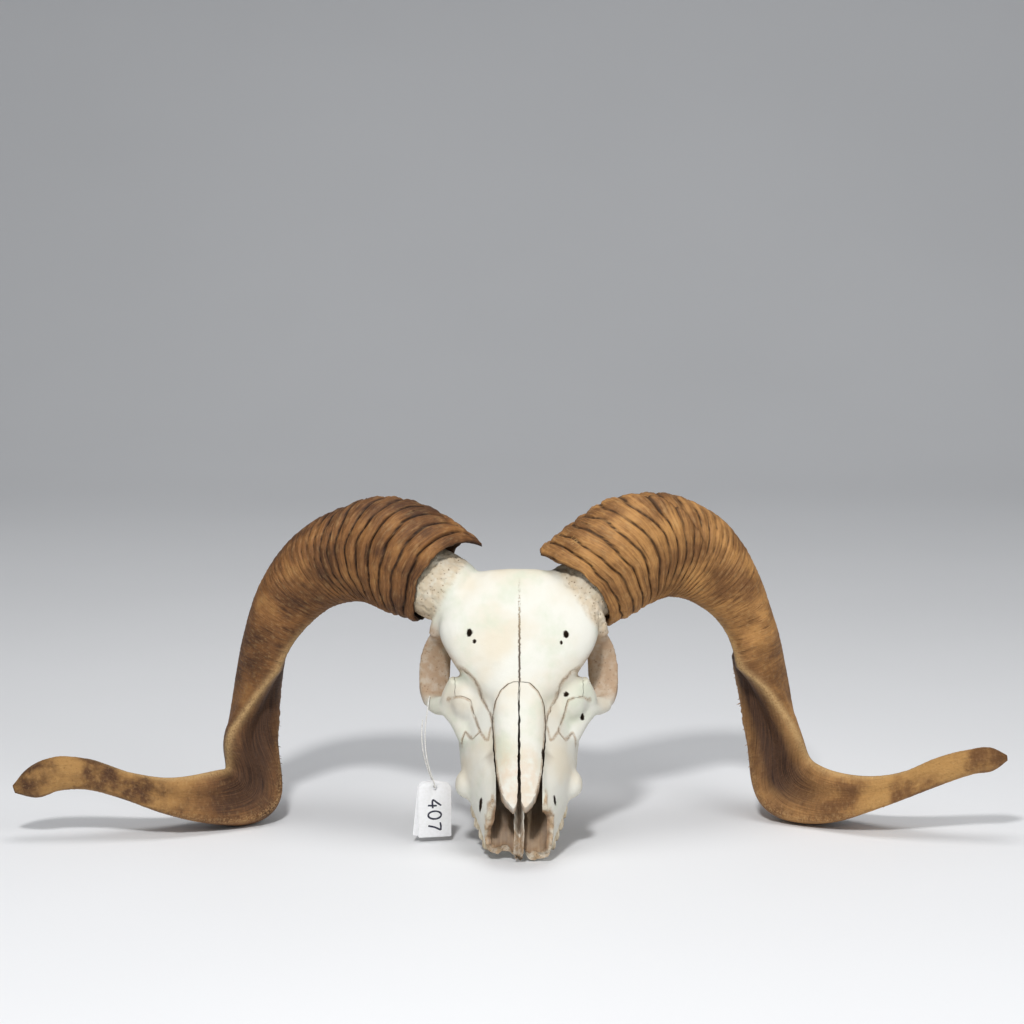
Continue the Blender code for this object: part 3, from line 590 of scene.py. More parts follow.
def keep_largest(solid):
    """Drop every loose scrap of a mesh but its largest."""
    mesh = solid.data
    edges = np.empty(len(mesh.edges) * 2, dtype=np.int64)
    mesh.edges.foreach_get("vertices", edges)
    ends = edges.reshape(-1, 2)
    group = np.arange(len(mesh.vertices))
    while True:
        low = np.minimum(group[ends[:, 0]], group[ends[:, 1]])
        before = group.copy()
        np.minimum.at(group, ends[:, 0], low)
        np.minimum.at(group, ends[:, 1], low)
        group = group[group]
        if np.array_equal(before, group):
            break
    names, counts = np.unique(group, return_counts=True)
    scraps = np.flatnonzero(group != names[np.argmax(counts)])
    if len(scraps):
        shape = bmesh.new()
        shape.from_mesh(mesh)
        shape.verts.ensure_lookup_table()
        bmesh.ops.delete(shape, geom=[shape.verts[number] for number in scraps.tolist()], context="VERTS")
        shape.to_mesh(mesh)
        shape.free()


def rest_pose():
    return Matrix.Translation(Vector(ORIGIN_SHIFT) * MM)


def skull_pose():
    return rest_pose() @ Matrix.Rotation(math.radians(NOSE_DOWN_DEG), 4, "X")


def set_down(piece, finish, nodes, sharp_deg=50.0):
    """Give a finished piece its material, and let it ride and stand for its nodes."""
    piece.data.materials.clear()
    piece.data.materials.append(finish)
    piece.data.shade_smooth()
    piece.data.set_sharp_from_angle(angle=math.radians(sharp_deg))
    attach(piece, "root")
    if nodes:
        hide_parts(*nodes)


def horn_table(horn):
    """A horn's stations, the distances between them and the way each one faces."""
    table = np.array(horn["stations"], dtype=float)
    knots = lengths_along(table[:, :3])
    chords = np.diff(table[:, :3], axis=0) / np.diff(knots)[:, None]
    facing = np.concatenate([chords[:1], chords[:-1] + chords[1:], chords[-1:]])
    return table, knots, unit(facing)


def side_of(horn):
    """-1 for the left horn and 1 for the right one."""
    return np.sign(horn["stations"][0][0])


def mouth_axis(horn):
    """The middle of a horn's mouth, and the step from there to the next station."""
    mouth, following = np.array(horn["stations"][:2], dtype=float)[:, :3]
    return mouth, following - mouth


def section_directions(horn, ahead):
    """Where a horn points ahead, the way to the front of its section and out of its curl."""
    front = np.array([0.0, -1.0, 0.0])
    thick = unit(front - ahead * (ahead @ front)[..., None])
    return thick, np.cross(thick, ahead) * side_of(horn)


def stretch(along, begin, end):
    """1 along one stretch of a horn, easing in and out."""
    return smooth_step(*begin, along) * (1 - smooth_step(*end, along))


def rolled(along, turn, radius=30.0):
    """Growth distances and turns as places on a plain cylinder, so that noise has no seam."""
    x, y = radius * np.cos(turn), radius * np.sin(turn)
    return np.stack([x + 0 * along, y + 0 * along, along + 0 * turn], axis=-1)


def mouth_shift(horn, along, turn):
    """How far the rings and the mouth are swept down the horn, for each turn."""
    circle = rolled(along, turn)
    seed = horn["seed"] + 40
    ragged = 0.9 * wander(circle, 7.0, seed) + 0.5 * wander(circle, 2.6, seed + 1)
    shift = np.interp(np.degrees(turn) % 360.0, SWEEP_TURNS_DEG, horn["sweep"], period=360.0)
    return shift * hump(along, SWEEP_REACH) + ragged * hump(along, 5.0)


def horn_section(table, knots, along, turn, strength):
    """Across and thick reach of a horn's section: keel, hollow shelf and thin lower edge."""
    keel, sharp = read_smoothly(table[:, 5:7], along[:, 0], knots).T[:, :, None]
    from_keel = turned(turn - np.radians(keel))
    reach = 1.0 + sharp * np.cos(3 * from_keel)
    edge = hump(turned(from_keel - EDGE_FROM_KEEL), 0.2)
    reach = reach + strength * (0.09 * hump(from_keel, 0.17) + 0.07 * edge)
    reach = reach - strength * 0.27 * hump(turned(from_keel - 1.02), 0.62)
    across, thick = reach * np.cos(turn), reach * np.sin(turn)
    spans = []
    for side in (across, thick):
        low, high = side.min(axis=1, keepdims=True), side.max(axis=1, keepdims=True)
        spans.append((2 * side - high - low) / (high - low))
    return spans[0], spans[1], from_keel


def horn_points(horn, along, turn, grow=0.0):
    """Places on a horn for a grid of growth distances and turns, each one's turn from the
    keel, and how hollow the horn's face is there."""
    table, knots, facing = horn_table(horn)
    place = along + mouth_shift(horn, along, turn)
    rows = read_smoothly(table, place.ravel(), knots).reshape(*place.shape, 7)
    ahead = unit(read_smoothly(facing, place.ravel(), knots).reshape(*place.shape, 3))
    thick, outward = section_directions(horn, ahead)
    strength = stretch(along, *HOLLOW_FACE)
    across, deep, from_keel = horn_section(table, knots, along, turn, strength)
    out = (across * (rows[..., 3] + grow))[..., None] * outward
    forward = (deep * (rows[..., 4] + grow))[..., None] * thick
    return rows[..., :3] + (out + forward), from_keel, strength


def horn_relief(horn, along, turn):
    """Height of the rings, fibres and peeled layer, and the painted shade for each point, darkest deep in
    the creases between rings and in the crack at the peel's edge.
    """
    circle = rolled(along, turn)
    seed = horn["seed"]
    fine = np.linspace(0.0, 470.0, 941)
    counted = np.concatenate([[0.0], np.cumsum(0.5 / np.interp(fine[1:], *RING_SPACING))])
    phase = np.interp(along, fine, counted)
    phase = phase + 0.34 * wander(circle, 26.0, seed) + 0.13 * wander(circle, 9.0, seed + 1)
    roll = 1.0 - np.abs(2 * (phase % 1.0) ** 0.8 - 1.0) ** 2.6
    height = np.interp(along, *horn["height"])
    uneven = 0.8 + 0.4 * wander(circle, 18.0, seed + 2)
    relief = height * (uneven * (roll - 0.6) + 0.1 * np.sin(6 * math.pi * phase))
    relief = relief + 0.35 * wander(circle, 5.0, seed + 6) * np.clip(height, 0.0, 1.0)
    relief = relief + 0.16 * wander(circle * (1.0, 1.0, 2.6), 4.0, seed + 3, 2)
    relief = relief + 0.55 * wander(circle, 34.0, seed + 4) * smooth_step(20, 60, along)
    start, slant, step = horn["peel"]
    window = hump(turned(turn - math.radians(28.0)), 0.62)
    end = start + slant * turned(turn - math.radians(10.0)) + 1.6 * wander(circle, 6.0, seed + 5)
    lifted = smooth_step(-15.0, 0.0, along - end) * (along < end)
    fallen = (1 - smooth_step(0.0, 34.0, along - end)) * (along >= end)
    relief = relief + step * window * (0.9 * lifted - 0.8 * fallen)
    crack = window * hump(along - end - 0.6, 1.3)
    # painted shade: darker deep in the creases between the rings, and in the crack at the peel's edge
    crease = np.clip(1 - roll, 0, 1) ** 2 * np.clip(height / 1.5, 0, 1)
    return relief, np.clip(crease + crack, 0, 1)


def eased_bend(grid, along):
    """The same grid of places, with the tight inside of the lower bend drawn out evenly."""
    share = stretch(along, *LOWER_BEND)[..., None]
    reach = np.arange(-14, 15)
    weights = np.exp(-((reach / 6.5) ** 2))
    eased = np.zeros_like(grid)
    rows = np.arange(len(grid))
    for step, weight in zip(reach, weights / weights.sum()):
        eased = eased + weight * grid[np.clip(rows + step, 0, len(grid) - 1)]
    return grid + share * (eased - grid)


def splinters(places, directions, lengths, widths, seed):
    """Thin torn slivers of horn standing on some places."""
    points, faces = [], []
    for number, (place, direction) in enumerate(zip(places, unit(directions))):
        side = unit(np.cross(direction, (0.3, 0.5, 0.8)))
        other = np.cross(direction, side)
        bend = wander(np.array([number * 3.1, 0.0, 0.0]), 1.0, seed) * side * lengths[number] * 0.3
        base = len(points)
        for share, wide in ((-0.4, 1.0), (0.45, 0.7), (1.0, 0.12)):
            middle = place + direction * lengths[number] * share + bend * max(share, 0.0) ** 2
            for turn in (0.0, 2.1, 4.2):
                offset = side * math.cos(turn) + 0.5 * other * math.sin(turn)
                points.append(middle + offset * widths[number] * wide)
        faces += [(base, base + 1, base + 2), (base + 8, base + 7, base + 6)]
        faces += ring_faces(3, 3, base)
    return np.array(points), faces


def build_sheath(name, horn):
    """One horn sheath in a single skin, from the hollow mouth to the tip."""
    table, knots, facing = horn_table(horn)
    whole = knots[-1]
    sides = 176
    turn = np.linspace(0.0, 2 * math.pi, sides, endpoint=False)[None, :]
    along = np.concatenate([np.arange(0.0, 125.0, 0.85), np.arange(125.0, whole, 1.3), [whole]])[:, None]
    relief, crease = horn_relief(horn, along, turn)
    lower_edge = hump(turned(horn_points(horn, along, turn)[1] - EDGE_FROM_KEEL), 0.16)
    frayed = lower_edge * stretch(along, *FRAYED_EDGE)
    relief = relief + frayed * 0.9 * wander(rolled(along, turn, 20.0), 2.4, horn["seed"] + 7, 2)
    outer, from_keel, strength = horn_points(horn, along, turn, relief)
    outer = eased_bend(outer, along)
    pocket = np.array([0.0, 1.5, 5.0, 12.0, 19.0, MOUTH_DEPTH])[:, None]
    walls = -np.interp(pocket, (0.0, 5.0, MOUTH_DEPTH), (1.6, horn["wall"], horn["wall"] + 1.0))
    inner = horn_points(horn, pocket, turn, walls)[0][::-1]
    grid = np.concatenate([inner, outer])
    points = grid.reshape(-1, 3)
    faces = [tuple(range(sides)), tuple(range(len(points) - sides, len(points)))]
    faces += ring_faces(len(grid), sides)
    blank = np.zeros(len(pocket) * sides)
    # painted highlight along the keel ridge
    keel = hump(from_keel, 0.18) * strength
    # painted shade on the hollow inner face beside the keel
    shelf = np.clip(1.35 * hump(turned(from_keel - 1.05), 0.8), 0, 1) * smooth_step(105, 150, along)
    shelf = shelf * (1 - 0.75 * smooth_step(265, 330, along))
    growth = np.stack([along + 0 * turn, 30.0 * turn + 0 * along, frayed], axis=-1)
    layers = {
        # painted shade: the pocket inside the mouth gets a fixed share of darkening
        "crease": np.concatenate([blank + 0.6, crease.ravel()]),
        "keel": np.concatenate([blank, keel.ravel()]),
        "shelf": np.concatenate([blank, shelf.ravel()]),
        "frayed": np.concatenate([blank, frayed.ravel()]),
        "growth_mm": np.concatenate([np.zeros((len(blank), 3)), growth.reshape(-1, 3)]),
    }
    picks = frayed_picks(horn, frayed)
    places = outer[picks]
    distances = along[picks[0], 0]
    out = places - read_smoothly(table[:, :3], distances, knots)
    out = out + 6.0 * read_smoothly(facing, distances, knots)
    lengths = 1.2 + 2.2 * np.abs(wander(places * 3.7, 1.0, horn["seed"] + 8))
    chips, chip_faces = splinters(places, out, lengths, 0.25 + 0.16 * lengths, horn["seed"])
    faces += [tuple(number + len(points) for number in face) for face in chip_faces]
    sheath = new_object(name, np.concatenate([points, chips]), faces)
    for layer, values in layers.items():
        extra = np.zeros((len(chips), 3)) if values.ndim == 2 else np.full(len(chips), 0.25)
        set_values(sheath.data, layer, np.concatenate([values, extra]))
    sheath.data.transform(rest_pose())
    return sheath


def frayed_picks(horn, frayed):
    """Grid places, along the thin lower edge, where slivers of horn stand out."""
    rows = np.flatnonzero(frayed.max(axis=1) > 0.3)
    rows = rows[lattice(np.stack([rows, rows, rows], axis=1), horn["seed"]) > 0.72]
    return rows, frayed[rows].argmax(axis=1)


def face_pieces():
    """Upper jaw, with the bridge of the nose, the facial tubers and the lacrimals."""
    face = loft("face", (
        (-14, 18.5, 7.5, 16, 42, 2.6, 2.4),
        (10, 25, 9, 18, 54, 2.8, 2.4),
        (38, 35, 10, 26, 67, 3.0, 1.9),
        (62, 38.5, 11, 30, 77.5, 2.8, 1.8),
        (80, 39, 13, 34, 85, 2.5, 1.8),
        (95, 33, 18, 42, 91, 2.2, 2.0),
        (108, 26, 30, 52, 91, 2.0, 2.0),
    ))
    bridge = loft("bridge", (
        (-14, 15, 24, 35, 46.5, 2.0, 2.3),
        (10, 16, 34, 47, 59.5, 2.0, 2.3),
        (38, 16.5, 46, 60.5, 73, 2.0, 2.3),
        (62, 17, 56, 70.5, 82, 2.0, 2.3),
        (88, 17, 64, 80, 90.5, 2.0, 2.2),
        (104, 13, 70, 86, 96, 2.0, 2.0),
    ))
    tuber = ball("tuber", (34.6, 38.5, 26.5), (6.9, 9.8, 8.5))
    lacrimal = ball("lacrimal", (33.5, 82.5, 62.0), (11.5, 15.5, 12.0), 20.0)
    return [face, bridge] + both_sides([tuber, lacrimal])


def cranium_pieces():
    """Frontal plate, braincase, the keel below it, ear bulbs and neck condyles."""
    frontal = loft("frontal", (
        (72, 20, 64, 74, 84.5, 2.0, 2.0),
        (84, 33, 62, 77, 89.5, 2.0, 2.2),
        (98, 44, 64, 82, 95, 2.0, 2.5),
        (113, 51, 66, 86, 100.5, 2.0, 2.7),
        (128, 50, 67, 88, 104.5, 2.0, 2.8),
        (143, 45, 64, 88, 106, 2.0, 2.8),
        (154, 40, 62, 83, 103.5, 2.0, 2.6),
        (164, 30, 60, 75, 90, 2.0, 2.4),
    ))
    braincase = loft("braincase", (
        (110, 20, 30, 52, 84, 2.2, 2.2),
        (128, 27, 22, 53, 94, 2.3, 2.2),
        (145, 32.5, 19, 54, 97, 2.3, 2.2),
        (159, 35, 19, 53, 88, 2.3, 2.2),
        (171, 34.5, 20, 50, 80, 2.4, 2.2),
        (182, 32, 23, 46, 65, 2.4, 2.3),
        (190, 27, 27, 42, 55, 2.4, 2.3),
        (196, 17, 31, 40, 49, 2.2, 2.0),
    ))
    between_orbits = loft("between_orbits", (
        (82, 26, 20, 48, 80, 2.4, 2.2),
        (100, 21, 24, 52, 86, 2.4, 2.2),
        (120, 21, 24, 54, 90, 2.4, 2.2),
    ))
    keel = loft("keel", (
        (72, 15, 11, 22, 40, 2.6, 2.2),
        (100, 13, 14, 26, 46, 2.6, 2.2),
        (130, 12, 19, 30, 50, 2.6, 2.2),
        (165, 13, 19, 30, 46, 2.6, 2.2),
        (190, 14, 23, 32, 42, 2.4, 2.2),
    ))
    ear_bulb = ball("ear_bulb", (23.0, 160.0, 20.0), (7.5, 11.0, 8.5))
    condyle = ball("condyle", (12.0, 193.5, 33.0), (8.0, 8.0, 10.0))
    jugular = limb("jugular", (
        (27, 179, 34, 7, 5), (28, 181, 22, 6, 4.5), (27, 182, 10, 4, 3),
    ), flat_side=(0.0, 1.0, 0.0))
    nape = limb("nape", ((-30, 176, 45, 4, 5), (-20, 184, 54, 4, 5), (0, 187, 56, 4, 5),
                         (20, 184, 54, 4, 5), (30, 176, 45, 4, 5)))
    return [frontal, braincase, between_orbits, keel, nape] + both_sides([ear_bulb, condyle, jugular])


def cheek_pieces():
    """Cheek bone, the orbit's lower rim, the bar behind the eye and the arch."""
    cheek = limb("cheek", (
        (32, 61.5, 45, 7.5, 7), (41, 75, 50.5, 6, 6), (49, 85, 49, 5, 5.5), (55.5, 91.5, 43, 4.5, 4.5),
        (60, 98, 41, 5, 4),
    ))
    rim = limb("rim", (
        (40, 89, 71, 5, 5), (44, 84, 61, 5.5, 6), (46.5, 82, 53.5, 5, 5.5), (51.5, 84.5, 47, 5, 5),
        (57, 90.5, 42, 4.5, 4.5),
    ))
    eye_bar = limb("eye_bar", (
        (42, 123, 81, 11, 5), (48, 126, 71, 10.5, 3.4), (53, 122, 59, 10.5, 3),
        (55, 112, 49, 10.5, 3), (55, 101, 43.5, 9.5, 3), (53, 92, 41.5, 8, 3.4),
    ), flat_side=(1.0, -0.35, 0.0))
    arch = limb("arch", (
        (59, 95, 39.6, 5.5, 3.4), (62, 107, 37.5, 5.5, 3), (60, 121, 38, 5.5, 3),
        (54, 134, 40.5, 5.5, 3), (45, 145, 44, 6, 3.6), (31, 152, 48, 8, 6),
    ))
    brow = limb("brow", (
        (36, 136, 95, 9, 7), (44, 132, 91, 8.5, 6.5), (49.5, 127.5, 83, 7.5, 5), (52, 123, 74, 7, 4),
    ), flat_side=(1.0, -0.35, 0.0))
    return both_sides([cheek, rim, eye_bar, arch, brow])


def core_piece(name, horn):
    """The bony core that a horn sheath sits on."""
    middle, ahead = mouth_axis(horn)
    half_face, half_thick = horn["stations"][0][3:5]
    thick, outward = section_directions(horn, unit(ahead))
    inset = horn["wall"] + BONE_GAP
    seat = half_face - inset - CORE_DROP
    turn = np.linspace(0.0, 2 * math.pi, 48, endpoint=False)
    rings = []
    for back, wide, deep in ((-1.15, 17.0, 18.0), (-0.45, seat - 0.5, 21.5), (0.0, seat, half_thick - inset),
                             (0.7, seat, half_thick - inset), (1.25, 17.0, 16.0)):
        centre = middle + back * ahead - CORE_DROP * outward
        rings.append(centre + np.outer(np.cos(turn) * wide, outward) + np.outer(np.sin(turn) * deep, thick))
    core = solid_from_rings(name, rings)
    core.data.transform(skull_pose().inverted() @ rest_pose())
    return core


def sheath_room(name, horn):
    """The space that a sheath's mouth takes, with the gap that the bone keeps to it."""
    turn = np.linspace(0.0, 2 * math.pi, 96, endpoint=False)[None, :]
    outer = horn_points(horn, np.linspace(-BONE_GAP, 62.0, 50)[:, None], turn, 2.0)[0]
    pocket = np.array([-BONE_GAP, 5.0, 14.0, MOUTH_DEPTH])[:, None]
    inner = horn_points(horn, pocket, turn, -horn["wall"])[0][::-1]
    room = solid_from_rings(name, list(inner) + list(outer))
    room.data.transform(skull_pose().inverted() @ rest_pose())
    return room


def hollow_stations():
    return [(y, wide, floor, floor + 7.0, top, HOLLOW_FLOOR_POWER, HOLLOW_TOP_POWER)
            for (y, floor), wide, top in zip(HOLLOW_FLOOR, HOLLOW_WIDTH, HOLLOW_TOP)]


def torn_depth(x, z):
    """How far back the muzzle is broken off, for places across it and up it."""
    slope = (BREAK_HIGH[0] - BREAK_LOW[0]) / (BREAK_HIGH[1] - BREAK_LOW[1])
    depth = BREAK_LOW[0] + slope * np.clip(z - BREAK_LOW[1], 0.0, None)
    spots = np.stack([x, 0 * x, z], axis=-1)
    depth = depth + 2.4 * wander(spots, 9.0, 21) + 1.1 * wander(spots, 3.6, 22)
    depth = depth + 0.9 * wander(spots, 1.7, 23)
    notch = hump(x - 0.3 - 0.5 * wander(spots, 4.0, 24), 2.3) * (1 - smooth_step(20.0, 24.0, z))
    left_loss = (1 - smooth_step(-8.0, 0.0, x)) * (1 - smooth_step(12.0, 30.0, z))
    return depth + 15.0 * notch + 4.5 * left_loss


def rough_break(name):
    """The space ahead of the broken muzzle, with a torn back."""
    across = np.arange(-44.0, 44.1, 0.8)
    up = np.arange(-16.0, 104.0, 0.8)
    x, z = np.meshgrid(across, up, indexing="ij")
    y = torn_depth(x, z)
    rows, columns = x.shape
    back = np.stack([x, y, z], axis=-1).reshape(-1, 3)
    front = back.copy()
    front[:, 1] = -70.0
    count = rows * columns
    faces = []
    for row in range(rows - 1):
        for column in range(columns - 1):
            first = row * columns + column
            faces.append((first, first + 1, first + columns + 1, first + columns))
            faces.append(tuple(count + n for n in (first, first + columns, first + columns + 1, first + 1)))
    border = list(range(columns))
    border += [row * columns + columns - 1 for row in range(1, rows)]
    border += [(rows - 1) * columns + column for column in range(columns - 2, -1, -1)]
    border += [row * columns for row in range(rows - 2, 0, -1)]
    for number, first in enumerate(border):
        after = border[(number + 1) % len(border)]
        faces.append((first, after, count + after, count + first))
    return new_object(name, np.concatenate([back, front]), faces)


def sideways(line):
    """The direction to the side of a flat line, at each of its points."""
    ahead = unit(np.gradient(line, axis=0))
    return np.stack([-ahead[:, 1], ahead[:, 0]], axis=1)


def serrated(outline, teeth, seed):
    """A finer outline, with the small interlocking teeth of a suture."""
    line = np.array(outline, dtype=float)
    knots = lengths_along(line)
    places = np.linspace(0.0, knots[-1], max(8, int(knots[-1] / 0.55)))
    fine = np.stack([np.interp(places, knots, line[:, axis]) for axis in range(2)], axis=1)
    spots = np.stack([places, 0 * places, 0 * places + 3.3], axis=1)
    sway = teeth * (0.7 * wander(spots, 3.2, seed) + 0.55 * wander(spots, 1.3, seed + 1))
    ends = np.clip(np.minimum(places, knots[-1] - places) / 2.0, 0.0, 1.0)
    return fine + sideways(fine) * (sway * ends)[:, None]


def shifted(line, amount, seed, spread=0.0):
    """A line moved sideways, by an amount that varies a little, for the gap along it."""
    spots = np.stack([line[:, 0], line[:, 1], 0 * line[:, 0]], axis=1)
    varied = amount + spread * np.clip(wander(spots, 3.0, seed), 0.0, 1.0)
    return line + sideways(line) * varied[:, None]


def bone_mass(grain):
    """The whole skull in one skin, before it is parted into its bones."""
    pieces = face_pieces() + cranium_pieces() + cheek_pieces()
    pieces += [core_piece("core_" + side, horn) for side, horn in HORNS.items()]
    bone = fuse("bone", pieces, FIRST_GRAIN * grain, FIRST_ROUNDS)
    sockets = both_sides([ball("socket", ORBIT_CENTRE, ORBIT_RADII)])
    temples = both_sides([ball("temple", (50.0, 137.0, 55.0), (17.0, 14.0, 22.0))])
    vault = ball("vault", (0.0, 34.0, 4.0), (19.5, 54.0, 9.0))
    throat = ball("throat", (0.0, 98.0, 18.0), (8.5, 24.0, 13.0))
    neck_hole = ball("neck_hole", (0.0, 199.0, 45.0), (9.0, 12.0, 8.5))
    combine(bone, "DIFFERENCE", sockets + temples + [vault, throat, neck_hole])
    bone = fuse("bone", [bone] + cheek_pieces(), grain, LAST_ROUNDS)
    keep_largest(bone)
    return bone


def on_core(points, horn, low, wide):
    """How much each place in the skull's frame belongs to a horn's core, from 0 to 1, where
    the collar begins so far up the horn's axis and ends so far from it, and the place at rest."""
    mouth, step = mouth_axis(horn)
    axis = unit(step)
    turn = math.radians(NOSE_DOWN_DEG)
    x, y, z = points.T
    back = y * math.cos(turn) - z * math.sin(turn)
    height = y * math.sin(turn) + z * math.cos(turn)
    rest = np.stack([x, back, height], axis=1)
    offset = rest - mouth
    up = offset @ axis
    away = np.linalg.norm(offset - up[:, None] * axis, axis=1)
    share = smooth_step(low, low + 6.0, up) * (1 - smooth_step(wide, wide + 6.0, away))
    return share * (np.sign(x) == side_of(horn)), rest


def roughen_bone(bone):
    """Raise the small unevenness of real bone, and the striped, pitted horn cores."""
    points = points_of(bone.data)
    normals = normals_of(bone.data)
    relief = 0.4 * wander(points, 17.0, 31) + 0.16 * wander(points, 6.0, 32) + 0.07 * wander(points, 2.4, 33)
    for horn in HORNS.values():
        collar, rest = on_core(points, horn, -9.0, 34.0)
        axis = unit(mouth_axis(horn)[1])
        squeezed = rest - 0.8 * (rest @ axis)[:, None] * axis
        stripes = wander(squeezed, 1.7, 34)
        pits = smooth_step(0.25, 0.6, wander(rest, 2.6, 35))
        pits = pits + 0.6 * smooth_step(0.35, 0.7, wander(rest, 1.5, 36))
        relief = relief + collar * (0.42 * stripes + 0.3 * wander(rest, 5.0, 37) - 0.9 * pits)
    set_points(bone.data, points + normals * relief[:, None])


def drill_foramina(bone):
    """Nerve and vessel openings, which lead inwards at a slant."""
    drills = []
    for number, (place, radii) in enumerate(FORAMINA):
        drills.append(ball(f"drill_{number}", place, radii, -OPENING_SLANT_DEG, 20))
    combine(bone, "DIFFERENCE", drills)


def nasal_block(name, side, margin):
    """The space that a nasal bone takes, down to a slanted underside."""
    outline = np.array(NASAL_OUTLINE + NASAL_OUTLINE[:1], dtype=float)
    line = serrated(outline, 0.4, 51 if side > 0 else 57)[:-1]
    if margin:
        line = shifted(line, -np.interp(line[:, 1], (40.0, 66.0), (margin, 0.4)), 53, -0.35)
        line[:, 1] = np.where(line[:, 1] < 22.0, line[:, 1] - 30.0, line[:, 1])
    line[:, 0] = side * line[:, 0]
    rings = []
    for level in (NASAL_UNDERSIDE - margin, 62.0):
        rings.append(np.stack([line[:, 0], line[:, 1], level + NASAL_SLOPE * line[:, 1]], axis=1))
    return solid_from_rings(name, rings)


def region(name, line, corners, low, high, side=1.0):
    """A block bounded by a suture line and some far corners, seen from above."""
    outline = [(side * x, y) for x, y in (*line, *corners)]
    return prism(name, outline, 2, low, high)


def eased_in(corners, gap):
    """The same corners, with those near the skull's middle moved in by the gap."""
    return [(x - gap if x < 50.0 else x, y) for x, y in corners]


def part_nasals(bone, bones):
    """Cut both nasal bones out of the skull."""
    for side, sign in SIDES:
        nasal = copy_of(bone, "nasal_" + side)
        combine(nasal, "INTERSECT", [nasal_block("keep", sign, 0.0)])
        bones["nasal_" + side] = nasal
    combine(bone, "DIFFERENCE", [nasal_block("room", sign, NASAL_GAP) for side, sign in SIDES])


def part_cheeks(bone, bones, gap):
    """Cut both cheek bones out, along one seam on the face and another farther out below it."""
    for side, sign in SIDES:
        seed = 61 if sign < 0 else 71
        inner = serrated(CHEEK_INNER, 0.6, seed)
        edge = serrated(CHEEK_LOWER_SEAM, 0.6, seed + 5)
        deep = [tuple(point) for point in edge] + list(CHEEK_CORNERS[:3])
        cheek = copy_of(bone, "zygomatic_" + side)
        shape = region("cheek_shape", inner, CHEEK_CORNERS, CHEEK_STEP, CHEEK_TOP, sign)
        combine(shape, "UNION", [region("cheek_deep", deep, (), CLEAR_BELOW, CHEEK_TOP, sign)])
        combine(cheek, "INTERSECT", [shape])
        wide = shifted(inner, -gap, seed + 3, 0.3)
        corners = eased_in(CHEEK_CORNERS, gap)
        room = region("cheek_room", wide, corners, CHEEK_STEP - gap, CHEEK_TOP + gap, sign)
        near = eased_in(deep, gap)
        combine(room, "UNION", [region("deep_room", near, (), CLEAR_BELOW, CHEEK_TOP + gap, sign)])
        combine(bone, "DIFFERENCE", [room])
        bones["zygomatic_" + side] = cheek


def part_cranium(bone, bones, gap):
    """Cut the cranium off along the frontal suture."""
    cranium = copy_of(bone, "cranium")
    combine(cranium, "INTERSECT", [back_block("back", 0.0)])
    combine(bone, "DIFFERENCE", [back_block("back_room", gap)])
    bones["cranium"] = cranium


def part_tear_bones(bone, bones, gap):
    """Cut out the bone in front of each orbit."""
    low, high = CHEEK_STEP, 104.0
    for side, sign in SIDES:
        seed = 81 if sign < 0 else 91
        lower = serrated(LACRIMAL_LOWER, 0.5, seed)
        lacrimal = copy_of(bone, "lacrimal_" + side)
        combine(lacrimal, "INTERSECT", [region("tear_bone", lower, TEAR_BONE_BACK, low, high, sign)])
        wide = shifted(lower, -gap, seed + 3, 0.2)
        combine(bone, "DIFFERENCE", [region("tear_room", wide, TEAR_BONE_BACK, low - gap, high, sign)])
        bones["lacrimal_" + side] = lacrimal


def part_bones(bone, gap):
    """Cut the skull along its sutures and return each bone."""
    bones = {}
    part_nasals(bone, bones)
    part_cheeks(bone, bones, gap)
    part_cranium(bone, bones, gap)
    part_tear_bones(bone, bones, gap)
    combine(bone, "DIFFERENCE", [rough_break("ahead")])
    bone.name = "upper_jaw"
    bones["upper_jaw"] = bone
    for solid in bones.values():
        keep_largest(solid)
    return bones


def back_block(name, gap):
    """Everything behind the frontal suture: fine above, and a plain line below."""
    half = serrated(FRONTAL_SUTURE, 0.75, 101)
    other = serrated(FRONTAL_SUTURE, 0.75, 111)
    if gap:
        half = shifted(half, gap, 103, 0.5)
        other = shifted(other, gap, 113, 0.5)
    left = np.stack([-other[:, 0], other[:, 1]], axis=1)
    line = np.concatenate([left, half[::-1][1:]])
    back = [(CLEAR_SIDE, CLEAR_BACK), (-CLEAR_SIDE, CLEAR_BACK)]
    upper = region(name, line, back, 60.0 - gap, 150.0)
    level = FRONTAL_SUTURE[0][1] - gap
    front = [(-CLEAR_SIDE, level), (CLEAR_SIDE, level)]
    combine(upper, "UNION", [region("lower", front, back, -60.0, 61.0)])
    return upper


def line_distance(points, line):
    """How far places lie from a line, both seen from above."""
    best = np.full(len(points), 1e9)
    for first, second in zip(line[:-1], line[1:]):
        first, step = np.array(first), np.array(second) - np.array(first)
        share = np.clip(((points[:, :2] - first) @ step) / (step @ step), 0.0, 1.0)
        best = np.minimum(best, np.linalg.norm(points[:, :2] - first - share[:, None] * step, axis=1))
    return best


def in_nose(points):
    """1 on the walls of the nose's hollow, fading to 0 outside it."""
    x, y, z = points.T
    stations = np.array(hollow_stations())
    columns = stations[:, 1:5].T
    wide, low, middle, high = [np.interp(y, stations[:, 0], column) for column in columns]
    reach = np.where(z >= middle, high - middle, middle - low)
    power = np.where(z >= middle, HOLLOW_TOP_POWER, HOLLOW_FLOOR_POWER)
    ratio = (np.abs(x / wide) ** power + np.abs((z - middle) / reach) ** power) ** (1 / power)
    return (1 - smooth_step(1.03, 1.13, ratio)) * (y < HOLLOW_BACK)


def suture_distance(points):
    """How far each place lies from the nearest suture, or 50 mm on the skull's underside."""
    folded = np.stack([np.abs(points[:, 0]), points[:, 1]], axis=1)
    near = np.full(len(points), 50.0)
    for line in (FRONTAL_SUTURE[2:-1], LACRIMAL_LOWER, CHEEK_INNER, NASAL_OUTLINE[5:15]):
        near = np.minimum(near, line_distance(folded, line))
    return np.where(points[:, 2] > 40.0, near, 50.0)


